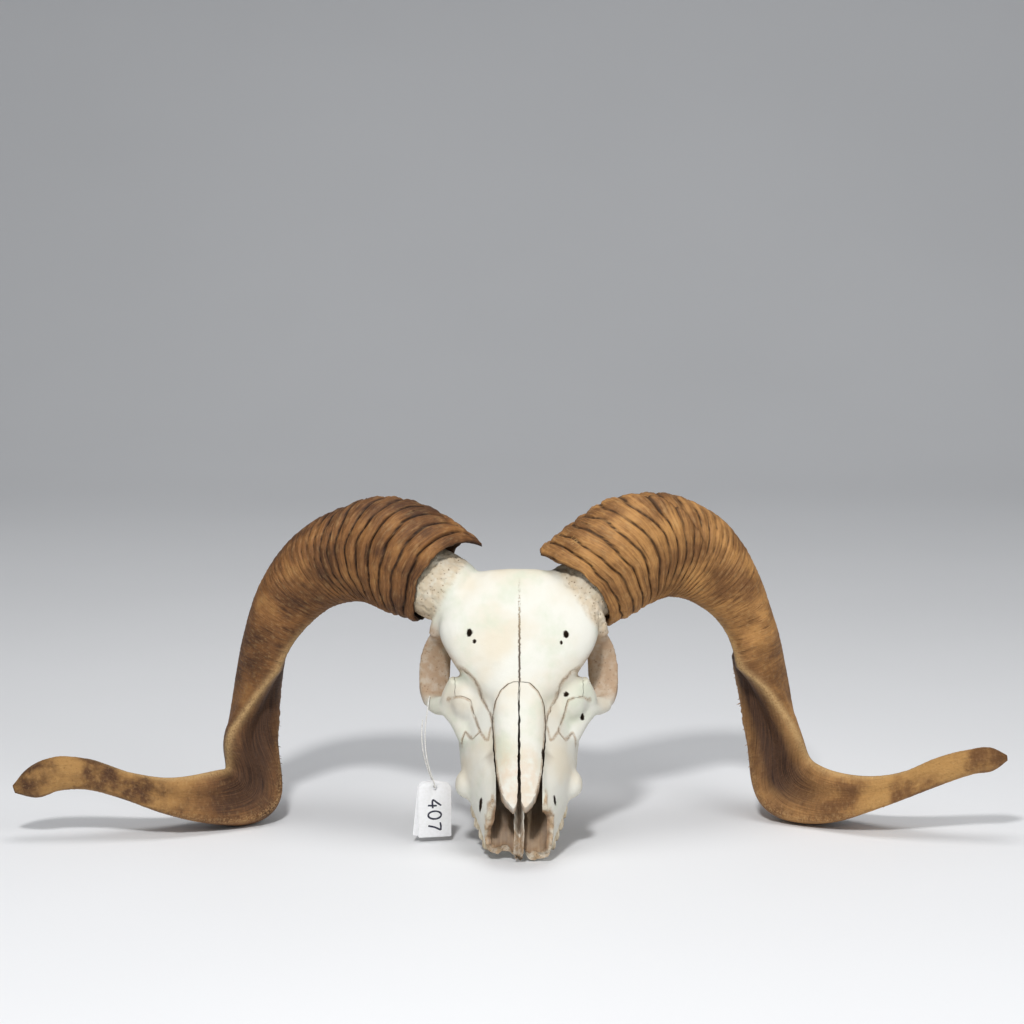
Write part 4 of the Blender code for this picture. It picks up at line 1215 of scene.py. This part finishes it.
def in_openings(points):
    """1 in the openings for nerves and vessels, 0 on the bone round them."""
    slant = math.radians(OPENING_SLANT_DEG)
    hole = np.zeros(len(points))
    for place, radii in FORAMINA:
        x, y, z = (points - place).T
        ahead = y * math.cos(slant) - z * math.sin(slant)
        up = y * math.sin(slant) + z * math.cos(slant)
        away = np.sqrt((x / radii[0]) ** 2 + (ahead / radii[1]) ** 2 + (up / radii[2]) ** 2)
        hole = np.maximum(hole, 1 - smooth_step(1.03, 1.12, away))
    return hole


def torn_edge(points):
    """1 on the broken end of the muzzle, 0 behind it and on the nasal bones."""
    x, y, z = points.T
    nasal = np.abs(x) < np.interp(y, (0.0, 10.0, 25.0), (12.0, 15.5, 18.0))
    nasal = nasal & (z > NASAL_UNDERSIDE + NASAL_SLOPE * y)
    return (1 - smooth_step(0.3, 2.6, y - torn_depth(x, z))) * ~nasal


def mark_stains_and_shade(mesh):
    """Store where a bone lies in the skull, and what its colours follow: stains, and the painted shade in
    the nose and in the openings.
    """
    points = points_of(mesh)
    set_values(mesh, "hole", in_openings(points))
    set_values(mesh, "torn", torn_edge(points))
    set_values(mesh, "skull_mm", points)
    set_values(mesh, "inside", in_nose(points))
    set_values(mesh, "near_suture", suture_distance(points))
    set_values(mesh, "collar", sum(on_core(points, horn, -8.0, 36.0)[0] for horn in HORNS.values()))


def tooth(name, centre_y, length, breadth, centre_x):
    """One cheek tooth: fluted sides, a worn top with a basin, and a root in the jaw."""
    sides = 36
    turn = np.linspace(0.0, 2 * math.pi, sides, endpoint=False)
    folds = 1.0 - (0.17 * np.cos(2 * turn) * (1.0 if length > 12 else 0.4)) + 0.05 * np.cos(6 * turn)
    rings = []
    for height, size in ((2.2, 0.3), (1.4, 0.62), (0.2, 0.8), (0.0, 0.9), (0.7, 1.0), (3.5, 1.03),
                         (7.0, 0.98), (9.5, 0.88), (CROWN_HEIGHT, 0.8)):
        x = centre_x + 0.5 * breadth * size * np.cos(turn) * folds
        y = centre_y + 0.48 * length * size * np.sign(np.sin(turn)) * np.abs(np.sin(turn)) ** 0.75
        rows = np.stack([x, y, np.full(sides, height)], axis=1)
        rows[:, 2] += 0.5 * np.sin(2 * turn) * (height < 1.0)
        rings.append(rows + 0.18 * wander(rows, 3.0, 131)[:, None])
    return solid_from_rings(name, rings)


def tooth_row(side):
    """The six cheek teeth of one side, along a row that spreads backwards."""
    teeth = []
    place = ROW_START
    row_length = sum(length for length, breadth in TEETH)
    for number, (length, breadth) in enumerate(TEETH):
        centre_x = ROW_FRONT_X + ROW_SPREAD * math.sin(0.5 * math.pi * (place - ROW_START) / row_length)
        teeth.append(tooth(f"tooth_{number}", place + 0.5 * length, length, breadth, side * centre_x))
        place += length
    return teeth


def stage_material(name, colour, roughness):
    finish = Finish(name)
    place = finish.node("ShaderNodeTexCoord", {}, {}, 3)
    mottle = finish.noise(place, 1.4, 3.0)
    shade = finish.blend(mottle.rise(0.3, 0.7), colour, tuple(0.96 * value for value in colour))
    return finish.close(shade, roughness)


def bone_material(look):
    """Dry, cleaned bone: warm white, stained in its sutures and round the horns, brown in the nose with
    painted shade deepening inside it, and painted shade in its openings.
    """
    finish = Finish("dry_bone")
    place = finish.place_of("skull_mm")
    x, y, z = finish.parts(place)
    inside = finish.value_of("inside")
    collar = finish.value_of("collar")
    near = finish.value_of("near_suture")
    broad = finish.noise(place, 0.03, 3.0)
    green = finish.noise(finish.stretched(place, (1.0, 0.8, 1.2)), 0.04, 4.0, 0.6)
    middling = finish.noise(place, 0.16, 4.0, 0.6)
    grain = finish.noise(place, 1.1, 4.0, 0.65)
    colour = finish.blend(broad.rise(0.35, 0.7), look.bone_colour, look.bone_warm)
    colour = finish.blend(green.rise(0.46, 0.7) * 0.6, colour, (0.55, 0.59, 0.46))
    peach = y.rise(44.0, 24.0) * abs(x).rise(16.0, 8.0) * z.rise(38.0, 46.0) * middling.rise(0.3, 0.65)
    colour = finish.blend(peach * 0.5, colour, (0.64, 0.46, 0.3))
    colour = finish.blend(grain.rise(0.55, 0.9) * 0.16, colour, (0.5, 0.42, 0.3))
    edge = near.rise(1.3, 0.15) * middling.rise(0.3, 0.5) * (0.3 + 0.7 * grain.rise(0.3, 0.6))
    colour = finish.blend(edge * 0.7, colour, (0.32, 0.19, 0.09))
    orbit = y.rise(88.0, 98.0) * abs(x).rise(34.0, 42.0) * z.rise(88.0, 78.0)
    colour = finish.blend(orbit * (0.62 + 0.3 * middling.rise(0.3, 0.6)), colour, (0.4, 0.26, 0.155))
    pores = finish.cells(place, 0.42)
    specks = pores.rise(0.3, 0.12) * grain.rise(0.42, 0.62)
    colour = finish.blend(collar * (0.35 + 0.45 * middling.rise(0.3, 0.6)), colour, (0.56, 0.44, 0.29))
    colour = finish.blend(collar * specks, colour, (0.18, 0.1, 0.04))
    few = specks * orbit * 0.9
    colour = finish.blend(few, colour, (0.22, 0.13, 0.07))
    streak = finish.noise(finish.stretched(place, (0.9, 0.05, 0.5)), 0.5, 2.0)
    deep = finish.blend(streak.rise(0.3, 0.75), (0.2, 0.11, 0.055), (0.34, 0.21, 0.11))
    # painted shade: the nose's brown walls darken to near black deeper inside
    deep = finish.blend(y.rise(14.0, 58.0), deep, (0.05, 0.022, 0.01))
    torn = finish.value_of("torn") * (0.35 + 0.65 * middling.rise(0.35, 0.6))
    colour = finish.blend(torn * 0.85, colour, (0.42, 0.27, 0.14))
    colour = finish.blend(torn * grain.rise(0.55, 0.7), colour, (0.12, 0.06, 0.03))
    # the nose's hollow: brown walls with painted shade deeper in
    colour = finish.blend(inside * (0.72 + 0.28 * middling), colour, deep)
    sway = finish.noise(finish.stretched(place, (0.0, 1.0, 0.0)), 0.42, 3.0, 0.7)
    off_line = abs(x + 3.0 * (sway - 0.5) - 0.25)
    dots = finish.noise(place, 1.35, 2.0)
    worn = y.rise(140.0, 92.0)
    line = off_line.rise(0.95, 0.15) * (dots + 0.42 * worn).rise(0.56, 0.68) * z.rise(62.0, 70.0)
    line = line * y.rise(150.0, 134.0) * y.rise(74.0, 77.0)
    line_colour = finish.blend(worn, (0.42, 0.25, 0.08), (0.06, 0.03, 0.012))
    colour = finish.blend(line * (0.55 + 0.45 * worn), colour, line_colour)
    # painted shade inside the openings for nerves and vessels
    colour = finish.blend(finish.value_of("hole"), colour, (0.035, 0.018, 0.009))
    height = 0.5 * grain + 0.35 * middling - 1.6 * line
    height = height - 1.3 * collar * specks - 0.8 * few + 1.5 * torn * grain
    normal = finish.relief(height, 0.35, 0.8)
    return finish.close(colour, 0.5 + 0.25 * grain, normal, 0.4)


def tooth_material():
    finish = Finish("tooth_enamel")
    place = finish.place_of("skull_mm")
    z = finish.parts(place)[2]
    streak = finish.noise(finish.stretched(place, (1.0, 1.0, 0.15)), 0.7, 3.0)
    colour = finish.blend(streak.rise(0.35, 0.7), (0.74, 0.66, 0.5), (0.5, 0.38, 0.22))
    colour = finish.blend(z.rise(2.4, 0.0) * streak.rise(0.3, 0.6), colour, (0.2, 0.12, 0.06))
    return finish.close(colour, 0.38 + 0.2 * streak, finish.relief(streak, 0.25, 0.7))


def horn_material(name, dark, light, gold, look):
    """Keratin in rings and fibres, with painted shade in its creases and on its hollow face, a painted
    highlight along its keel, and golden at its tip.
    """
    finish = Finish(name)
    growth = finish.place_of("growth_mm")
    in_mm = finish.object_mm()
    along = finish.parts(growth)[0]
    crease = finish.value_of("crease")
    keel = finish.value_of("keel")
    shelf = finish.value_of("shelf")
    frayed = finish.value_of("frayed")
    rings = finish.noise(finish.stretched(growth, (1.0, 0.035, 0.0)), 0.75, 4.0, 0.65)
    fibres = finish.noise(finish.stretched(growth, (0.04, 1.0, 0.0)), 0.9, 4.0, 0.65)
    patches = finish.noise(in_mm, 0.035, 4.0, 0.6)
    grain = finish.noise(in_mm, 0.8, 4.0, 0.7)
    ringed = along.rise(250.0, 140.0)
    streaks = ringed * rings + (1.0 - ringed) * (0.35 * rings + 0.65 * fibres)
    colour = finish.blend((0.35 * streaks + 0.65 * patches).rise(0.38, 0.62), dark, light)
    colour = finish.blend(patches.rise(0.56, 0.76) * 0.4, colour, gold)
    # painted shade: the hollow inner face is darkened to near black brown
    shaded_shelf = finish.blend(fibres.rise(0.35, 0.65), (0.028, 0.012, 0.006), (0.095, 0.043, 0.019))
    colour = finish.blend(shelf * (0.85 + 0.3 * patches), colour, shaded_shelf)
    tip = along.rise(300.0, 350.0) * patches.rise(0.38, 0.6)
    colour = finish.blend(tip * 0.65, colour, gold)
    # painted highlight along the keel ridge
    colour = finish.blend(keel * 0.8 * (0.5 + grain).rise(0.7, 1.1), colour, look.keel_colour)
    colour = finish.blend(frayed * grain.rise(0.45, 0.6) * 0.7, colour, (0.45, 0.27, 0.12))
    splits = fibres.rise(0.34, 0.27) * along.rise(215.0, 250.0)
    colour = finish.blend(splits * 0.8, colour, (0.03, 0.013, 0.006))
    fine_rings = rings.rise(0.38, 0.28) * ringed
    colour = finish.blend(fine_rings * 0.45, colour, tuple(0.5 * value for value in dark))
    # painted shade in the creases between the rings and in the crack at the peel's edge
    colour = finish.blend(crease.rise(0.12, 0.75) * 0.92, colour, tuple(0.22 * value for value in dark))
    knobs = finish.noise(finish.stretched(growth, (0.55, 0.16, 1.0)), 0.9, 3.0, 0.6)
    worn = knobs.rise(0.5, 0.72) * (1.0 - crease) * (1.0 - shelf)
    colour = finish.blend(worn * 0.24, colour, look.keel_colour)
    colour = finish.blend(knobs.rise(0.42, 0.26) * 0.4, colour, tuple(0.6 * value for value in dark))
    height = 0.9 * streaks + 0.4 * grain - 1.2 * splits - 0.6 * fine_rings + 0.3 * fibres + 1.1 * knobs
    normal = finish.relief(height, 0.9, 0.9)
    return finish.close(colour, 0.5 + 0.22 * grain + 0.1 * crease, normal, 0.3)


def plain_material(name, colour, second, fineness, roughness, depth):
    """Card, ink or cotton: one colour that varies a little, with a fine relief."""
    finish = Finish(name)
    in_mm = finish.object_mm()
    fleck = finish.noise(in_mm, fineness, 3.0)
    shade = finish.blend(fleck.rise(0.35, 0.7), colour, second)
    return finish.close(shade, roughness + 0.1 * fleck, finish.relief(fleck, depth, 0.6))


class RamStageSettings(bpy.types.PropertyGroup):
    """Floor, backdrop and lights."""

    floor_colour: bpy.props.FloatVectorProperty(
        name="Floor Colour", description="Colour of the floor and the backdrop",
        default=(0.81, 0.815, 0.825), size=3, min=0.0, max=1.0, subtype="COLOR")
    key_power: bpy.props.FloatProperty(
        name="Key Light", description="Power of the main light, in front and above, a little left",
        default=128.0, min=0.0, unit="POWER")
    fill_power: bpy.props.FloatProperty(
        name="Fill Light", description="Power of the weaker light, from the right",
        default=8.0, min=0.0, unit="POWER")
    top_power: bpy.props.FloatProperty(
        name="Top Light", description="Power of the light overhead",
        default=10.0, min=0.0, unit="POWER")


class RamBoneSettings(bpy.types.PropertyGroup):
    """Sizes and colours of the skull's bones."""

    grain: bpy.props.FloatProperty(
        name="Grain", description="Fineness of the bone's surface",
        default=0.0011, min=0.0006, max=0.004, unit="LENGTH")
    suture_gap: bpy.props.FloatProperty(
        name="Suture Gap", description="Narrowest gap between neighbouring bones",
        default=0.0003, min=0.0001, max=0.002, unit="LENGTH")
    bone_colour: bpy.props.FloatVectorProperty(
        name="Bone Colour", description="Main colour of the dry bone",
        default=(0.69, 0.68, 0.61), size=3, min=0.0, max=1.0, subtype="COLOR")
    bone_warm: bpy.props.FloatVectorProperty(
        name="Warm Bone Colour", description="Colour of the bone's creamier areas",
        default=(0.66, 0.6, 0.48), size=3, min=0.0, max=1.0, subtype="COLOR")


class RamHornSettings(bpy.types.PropertyGroup):
    """Colours of the horn sheaths."""

    left_dark: bpy.props.FloatVectorProperty(
        name="Left Dark Colour", description="Darker colour of the left horn",
        default=(0.075, 0.03, 0.011), size=3, min=0.0, max=1.0, subtype="COLOR")
    left_light: bpy.props.FloatVectorProperty(
        name="Left Light Colour", description="Lighter colour of the left horn",
        default=(0.25, 0.108, 0.032), size=3, min=0.0, max=1.0, subtype="COLOR")
    right_dark: bpy.props.FloatVectorProperty(
        name="Right Dark Colour", description="Darker colour of the right horn",
        default=(0.17, 0.073, 0.022), size=3, min=0.0, max=1.0, subtype="COLOR")
    right_light: bpy.props.FloatVectorProperty(
        name="Right Light Colour", description="Lighter colour of the right horn",
        default=(0.47, 0.235, 0.074), size=3, min=0.0, max=1.0, subtype="COLOR")
    gold_colour: bpy.props.FloatVectorProperty(
        name="Golden Colour", description="Golden colour of thin, worn horn",
        default=(0.5, 0.28, 0.09), size=3, min=0.0, max=1.0, subtype="COLOR")
    # Keel colour: the painted highlight along the keel ridge; it also lightens the raised knobs
    keel_colour: bpy.props.FloatVectorProperty(
        name="Keel Colour", description="Pale colour along the worn keel",
        default=(0.55, 0.36, 0.16), size=3, min=0.0, max=1.0, subtype="COLOR")


class RamTagSettings(bpy.types.PropertyGroup):
    """Colours of the tags and their string."""

    card_colour: bpy.props.FloatVectorProperty(
        name="Card Colour", description="Colour of the white card",
        default=(0.86, 0.86, 0.87), size=3, min=0.0, max=1.0, subtype="COLOR")
    ink_colour: bpy.props.FloatVectorProperty(
        name="Ink Colour", description="Colour of the number on the front tag",
        default=(0.015, 0.014, 0.03), size=3, min=0.0, max=1.0, subtype="COLOR")
    cotton_colour: bpy.props.FloatVectorProperty(
        name="Cotton Colour", description="Colour of the string",
        default=(0.8, 0.79, 0.75), size=3, min=0.0, max=1.0, subtype="COLOR")


def hang_light(lamp, place, target):
    """Put a lamp at its place and turn it to its target."""
    light = bpy.data.objects.new(lamp.name, lamp)
    light.location = place
    light.rotation_euler = (Vector(target) - light.location).to_track_quat("-Z", "Y").to_euler()
    bpy.context.scene.collection.objects.link(light)


def spot_light(name, power, aim):
    lamp = bpy.data.lights.new(name, "SPOT")
    lamp.energy = power
    lamp.spot_size = math.radians(KEY_CONE_DEG)
    lamp.spot_blend = 1.0
    lamp.shadow_soft_size = KEY_RADIUS
    hang_light(lamp, *aim)


def area_light(name, power, aim, width):
    lamp = bpy.data.lights.new(name, "AREA")
    lamp.shape = "DISK"
    lamp.size = width
    lamp.energy = power
    hang_light(lamp, *aim)


def photo_camera():
    """A camera at the photo's viewing angle, with its framing."""
    lens = bpy.data.cameras.new("photo_camera")
    lens.lens = LENS_MM
    lens.sensor_width = SENSOR_MM
    lens.clip_end = 30.0
    camera = bpy.data.objects.new("photo_camera", lens)
    camera.location = CAMERA_PLACE
    camera.rotation_euler = (math.radians(CAMERA_TILT_DEG), 0.0, 0.0)
    bpy.context.scene.collection.objects.link(camera)
    return camera


def paper_sweep(colour):
    """A floor that rises into a backdrop behind the skull."""
    sweep = [(FLOOR_FRONT, 0.0), (RISE_START, 0.0)]
    for step in range(1, RISE_STEPS + 1):
        turn = 0.5 * math.pi * step / RISE_STEPS
        sweep.append((RISE_START + RISE_RADIUS * math.sin(turn), RISE_RADIUS * (1.0 - math.cos(turn))))
    sweep.append((RISE_START + RISE_RADIUS, BACKDROP_TOP))
    points = [(side * FLOOR_HALF_WIDTH / MM, y / MM, z / MM) for y, z in sweep for side in (-1, 1)]
    faces = [(n, n + 1, n + 3, n + 2) for n in range(0, len(points) - 2, 2)]
    floor = new_object("floor", points, faces)
    floor.data.materials.append(stage_material("paper_sweep", colour, 0.6))
    floor.data.shade_smooth()
    return floor


class RamStage(bpy.types.Operator):
    """Set up the camera, the pale floor that rises into a backdrop, and the lights"""

    bl_idname = "ram_skull.stage"
    bl_label = "Stage"

    def execute(self, context):
        settings = context.scene.ram_stage
        context.scene.camera = photo_camera()
        paper_sweep(tuple(settings.floor_colour))
        spot_light("key", settings.key_power, KEY_AIM)
        area_light("fill", settings.fill_power, FILL_AIM, FILL_WIDTH)
        area_light("top", settings.top_power, TOP_AIM, TOP_WIDTH)
        room = bpy.data.worlds.new("studio")
        room.use_nodes = True
        background = room.node_tree.nodes["Background"]
        background.inputs["Color"].default_value = ROOM_COLOUR
        background.inputs["Strength"].default_value = ROOM_STRENGTH
        context.scene.world = room
        context.scene.view_settings.view_transform = "Standard"
        return {"FINISHED"}


def twisted_cord(name, line, places):
    """A cord of two twisted strands along a smooth line, with one ring at each distance."""
    ahead = unit(np.gradient(line, axis=0))
    side = unit(np.cross(ahead, (1.0, 0.0, 0.0)))
    other = np.cross(ahead, side)
    turn = np.linspace(0.0, 2 * math.pi, 18, endpoint=False)
    rings = []
    for number, place in enumerate(places):
        twist = 2 * math.pi * place / STRING_TURN
        reach = 0.5 * STRING_THICK * (0.86 + 0.14 * np.cos(2 * (turn - twist)))
        reach = reach + 0.02 * np.cos(9 * (turn - 1.6 * twist))
        rings.append(line[number] + np.outer(reach * np.cos(turn), side[number])
                     + np.outer(reach * np.sin(turn), other[number]))
    return solid_from_rings(name, rings)


class RamString(bpy.types.Operator):
    """Hang the twisted cotton string from the lower rim of the left orbit"""

    bl_idname = "ram_skull.string"
    bl_label = "Tag String"

    def execute(self, context):
        settings = context.scene.ram_tags
        route = np.array(STRING_ROUTE, dtype=float)
        knots = lengths_along(route)
        places = np.arange(0.0, knots[-1], STRING_STEP)
        line = read_smoothly(route, places, knots)
        string = twisted_cord("tag_string_cotton", line, places)
        string.data.transform(rest_pose())
        colour = tuple(settings.cotton_colour)
        cotton = plain_material("cotton_string", colour, (0.6, 0.58, 0.53), 1.6, 0.8, 0.12)
        set_down(string, cotton, ["tag_string"])
        path = [tuple((point + ORIGIN_SHIFT) * MM) for point in line[::5]]
        path.append(tuple((line[-1] + ORIGIN_SHIFT) * MM))
        return {"FINISHED"}


def rounded_card():
    """A tag's outline: square foot and shoulders that curve in to an arched top."""
    wide, tall = 0.5 * TAG_SIZE[0], TAG_SIZE[1]
    outline = [(-wide, 0.6), (-wide + 0.6, 0.0), (wide - 0.6, 0.0), (wide, 0.6), (wide, tall - 6.5)]
    for step in range(1, 9):
        turn = 0.5 * math.pi * step / 8
        outline.append((wide - 5.5 + 5.5 * math.cos(turn), tall - 6.5 + 5.3 * math.sin(turn)))
    outline += [(2.5, tall - 0.3), (0.0, tall), (-2.5, tall - 0.3)]
    for step in range(8, -1, -1):
        turn = 0.5 * math.pi * step / 8
        outline.append((-wide + 5.5 - 5.5 * math.cos(turn), tall - 6.5 + 5.3 * math.sin(turn)))
    return outline


def tag_place(number):
    """Where a tag's own frame, x across and z up from its foot, goes at rest."""
    hole_height = TAG_SIZE[1] - TAG_HOLE_DROP
    to_hole = Matrix.Translation(Vector((0.0, number * TAG_STEP, 0.0)) * MM)
    from_hole = Matrix.Translation(Vector((0.0, 0.0, -hole_height)) * MM)
    swing = Matrix.Rotation(math.radians(TAG_SWING_DEG[number]), 4, "Y")
    face = Matrix.Rotation(math.radians(TAG_TURN_DEG), 4, "Z")
    return rest_pose() @ Matrix.Translation(Vector(TAG_HOLE_PLACE) * MM) @ face @ to_hole @ swing @ from_hole


def pen_strokes():
    """A plain number in pen, written down the card: four, nought and seven."""
    ring = [(0.5 + 0.42 * math.sin(turn), 0.5 + 0.48 * math.cos(turn))
            for turn in np.linspace(0.1, 2 * math.pi + 0.25, 22)]
    cells = (
        (((0.72, 0.98), (0.42, 0.7), (0.1, 0.36), (0.5, 0.33), (0.98, 0.36)),
         ((0.72, 0.66), (0.7, 0.35), (0.66, 0.0))),
        (ring,),
        (((0.08, 0.9), (0.5, 0.95), (0.92, 0.94)), ((0.92, 0.94), (0.6, 0.5), (0.42, 0.02))),
    )
    strokes = []
    for number, cell in enumerate(cells):
        for stroke in cell:
            strokes.append([(-4.6 + 9.0 * up, 25.5 - 7.6 * number - 6.2 * right) for right, up in stroke])
    return strokes


def ink_ribbon(stroke, front):
    """Points and faces of one pen stroke, lying just proud of the card."""
    line = np.array(stroke, dtype=float)
    knots = lengths_along(line)
    places = np.linspace(0.0, knots[-1], max(8, int(knots[-1] / 0.35)))
    fine = read_smoothly(line, places, knots)
    side = sideways(fine)
    spots = np.stack([places, 0 * places, 0 * places], axis=1)
    half = 0.58 + 0.1 * wander(spots, 2.0, 141)
    points = []
    for edge in (-1.0, 1.0):
        flat = fine + edge * side * half[:, None]
        points.append(np.stack([flat[:, 0], np.full(len(flat), front), flat[:, 1]], axis=1))
    count = len(fine)
    faces = [(n, n + 1, count + n + 1, count + n) for n in range(count - 1)]
    return np.concatenate(points), faces


class RamTags(bpy.types.Operator):
    """Make the two card tags, with a plain number in ink on the front one"""

    bl_idname = "ram_skull.tags"
    bl_label = "Card Tags"

    def execute(self, context):
        settings = context.scene.ram_tags
        card = plain_material("white_card", tuple(settings.card_colour), (0.82, 0.82, 0.82), 0.5, 0.55, 0.04)
        thick = TAG_SIZE[2]
        names = []
        turn = np.linspace(0.0, 2 * math.pi, 32, endpoint=False)
        hole_height = TAG_SIZE[1] - TAG_HOLE_DROP
        hole = np.stack([TAG_HOLE * np.cos(turn), hole_height + TAG_HOLE * np.sin(turn)], axis=1)
        for number, node in enumerate(("tag_front", "tag_back")):
            tag = prism(node + "_card", rounded_card(), 1, -0.5 * thick, 0.5 * thick)
            combine(tag, "DIFFERENCE", [prism("hole", hole, 1, -thick, thick)], "EXACT")
            round_off = tag.modifiers.new("round", "BEVEL")
            round_off.width = 0.1 * MM
            round_off.segments = 2
            apply_modifiers(tag)
            tag.data.transform(tag_place(number))
            set_down(tag, card, [node])
            names.append(tag.name)
        ink = plain_material("pen_ink", tuple(settings.ink_colour), (0.03, 0.03, 0.06), 0.6, 0.5, 0.02)
        points, faces = [], []
        for stroke in pen_strokes():
            base = sum(len(block) for block in points)
            block, block_faces = ink_ribbon(stroke, -0.5 * thick - 0.04)
            points.append(block)
            faces += [tuple(base + n for n in face) for face in block_faces]
        writing = new_object("tag_number", np.concatenate(points), faces)
        writing.data.transform(tag_place(0))
        set_down(writing, ink, [])
        names.append(writing.name)
        context.scene["ram_tag_names"] = names
        return {"FINISHED"}


def mouth_fibres(horn):
    """Short golden fibres of dried skin in the lower part of a horn's mouth."""
    count = 90
    numbers = np.arange(count)
    spots = np.stack([numbers, numbers * 0 + 5, numbers * 0 + 9], axis=1)
    turn = math.radians(118.0) + math.radians(74.0) * lattice(spots, 5)[None, :]
    places = horn_points(horn, np.full((1, 1), 1.0), turn, -0.6 * horn["wall"])[0][0]
    axis = -unit(mouth_axis(horn)[1])
    drift = np.stack([wander(spots * 1.7, 1.0, seed) for seed in (151, 152, 153)], axis=1)
    lengths = 2.2 + 2.6 * lattice(spots, 6)
    points, faces = splinters(places - 1.5 * axis, axis + 0.5 * drift, lengths, np.full(count, 0.22), 154)
    fibres = new_object("mouth_fibres", points, faces)
    fibres.data.transform(rest_pose())
    return fibres


class RamHorns(bpy.types.Operator):
    """Build both ringed horn sheaths, from their hollow mouths to their tips"""

    bl_idname = "ram_skull.horns"
    bl_label = "Horn Sheaths"

    def execute(self, context):
        settings = context.scene.ram_horns
        for side, horn in HORNS.items():
            dark = tuple(getattr(settings, side + "_dark"))
            light = tuple(getattr(settings, side + "_light"))
            keratin = horn_material("horn_" + side, dark, light, tuple(settings.gold_colour), settings)
            sheath = build_sheath("horn_sheath_" + side, horn)
            nodes = [f"horn_{side}_{length}" for length in ("base", "side", "bend", "tip")]
            set_down(sheath, keratin, nodes, 80.0)
        golden = plain_material("golden_fibre", (0.5, 0.32, 0.1), (0.25, 0.13, 0.04), 0.8, 0.5, 0.05)
        set_down(mouth_fibres(HORNS["right"]), golden, [])
        return {"FINISHED"}


class RamBones(bpy.types.Operator):
    """Shape the skull in one mass, then part it along its sutures into its bones"""

    bl_idname = "ram_skull.bones"
    bl_label = "Bones"

    def execute(self, context):
        settings = context.scene.ram_bones
        bone = bone_mass(settings.grain / MM)
        roughen_bone(bone)
        combine(bone, "DIFFERENCE", [loft("hollow", hollow_stations(), 50, 60)])
        drill_foramina(bone)
        rooms = [sheath_room("room_" + side, horn) for side, horn in HORNS.items()]
        combine(bone, "DIFFERENCE", rooms)
        keep_largest(bone)
        dry_bone = bone_material(settings)
        enamel = tooth_material()
        for name, piece in part_bones(bone, settings.suture_gap / MM).items():
            mark_stains_and_shade(piece.data)
            piece.data.transform(skull_pose())
            node = "upper_jaw" if name.startswith("lacrimal") else name
            piece.name = name + "_bone"
            set_down(piece, dry_bone, [node])
        for side, sign in SIDES:
            teeth = joined("teeth_" + side, tooth_row(sign))
            set_values(teeth.data, "skull_mm", points_of(teeth.data))
            teeth.data.transform(skull_pose())
            set_down(teeth, enamel, [])
        return {"FINISHED"}


class RamVomer(bpy.types.Operator):
    """Stand the thin, grooved plate of bone on the floor of the nose"""

    bl_idname = "ram_skull.vomer"
    bl_label = "Vomer"

    def execute(self, context):
        floor_y, floor_z = zip(*HOLLOW_FLOOR)
        rings = []
        for y in np.linspace(-9.0, 52.0, 90):
            foot = float(np.interp(y, floor_y, floor_z)) - 0.4
            top = float(np.interp(y, (-9.0, -4.0, 10.0, 52.0), (foot + 5.0, 27.0, 33.5, 44.0)))
            spots = np.array([[y, 0.0, 0.0], [y, 9.0, 0.0], [y, 18.0, 0.0]])
            rag = 1.1 * wander(spots, 3.0, 161, 2)
            right_lip, left_lip = top + rag[0], top + rag[1]
            section = np.array([
                (-2.6, foot), (2.6, foot), (1.0, foot + 3.0), (1.1, top - 8.0), (3.1, right_lip),
                (2.5, right_lip + 0.3), (0.5, top - 5.5), (-0.5, top - 5.5), (-2.7, left_lip + 0.3),
                (-3.3, left_lip), (-1.1, top - 8.0), (-1.0, foot + 3.0),
            ])
            x = section[:, 0] + 0.4 * rag[2]
            rings.append(np.stack([x, np.full(len(section), y), section[:, 1]], axis=1))
        plate = solid_from_rings("vomer_plate", rings)
        mark_stains_and_shade(plate.data)
        mesh = plate.data
        points = points_of(mesh)
        shade = 0.25 + 0.6 * smooth_step(0.6, 2.0, 2.6 - np.abs(points[:, 0])) * (points[:, 2] > 24.0)
        mesh.attributes["inside"].data.foreach_set("value", shade.astype(np.float32))
        mesh.transform(skull_pose())
        set_down(plate, bpy.data.materials["dry_bone"], ["vomer"], 40.0)
        return {"FINISHED"}


class RamPanel(bpy.types.Panel):
    """Lists the pieces of the ram skull"""

    bl_idname = "VIEW3D_PT_ram_skull"
    bl_label = "Ram Skull"
    bl_space_type = "VIEW_3D"
    bl_region_type = "UI"
    bl_category = "Ram Skull"

    def draw(self, context):
        for name in ("stage", "tags", "string", "horns", "bones", "vomer"):
            self.layout.operator("ram_skull." + name)
        for group in ("ram_stage", "ram_bones", "ram_horns", "ram_tags"):
            settings = getattr(context.scene, group)
            box = self.layout.box()
            for key in settings.__annotations__:
                box.prop(settings, key)


GROUPS = {"ram_stage": RamStageSettings, "ram_bones": RamBoneSettings, "ram_horns": RamHornSettings,
          "ram_tags": RamTagSettings}
CLASSES = (*GROUPS.values(), RamStage, RamString, RamTags, RamHorns, RamBones, RamVomer, RamPanel)


def register():
    for item in CLASSES:
        bpy.utils.register_class(item)
    for name, group in GROUPS.items():
        setattr(bpy.types.Scene, name, bpy.props.PointerProperty(type=group))


def unregister():
    for name in GROUPS:
        delattr(bpy.types.Scene, name)
    for item in reversed(CLASSES):
        bpy.utils.unregister_class(item)


def main():
    register()
    bpy.ops.ram_skull.stage()
    bpy.ops.ram_skull.tags()
    bpy.ops.ram_skull.string()
    bpy.ops.ram_skull.horns()
    bpy.ops.ram_skull.bones()
    bpy.ops.ram_skull.vomer()


if __name__ == "__main__":
    main()
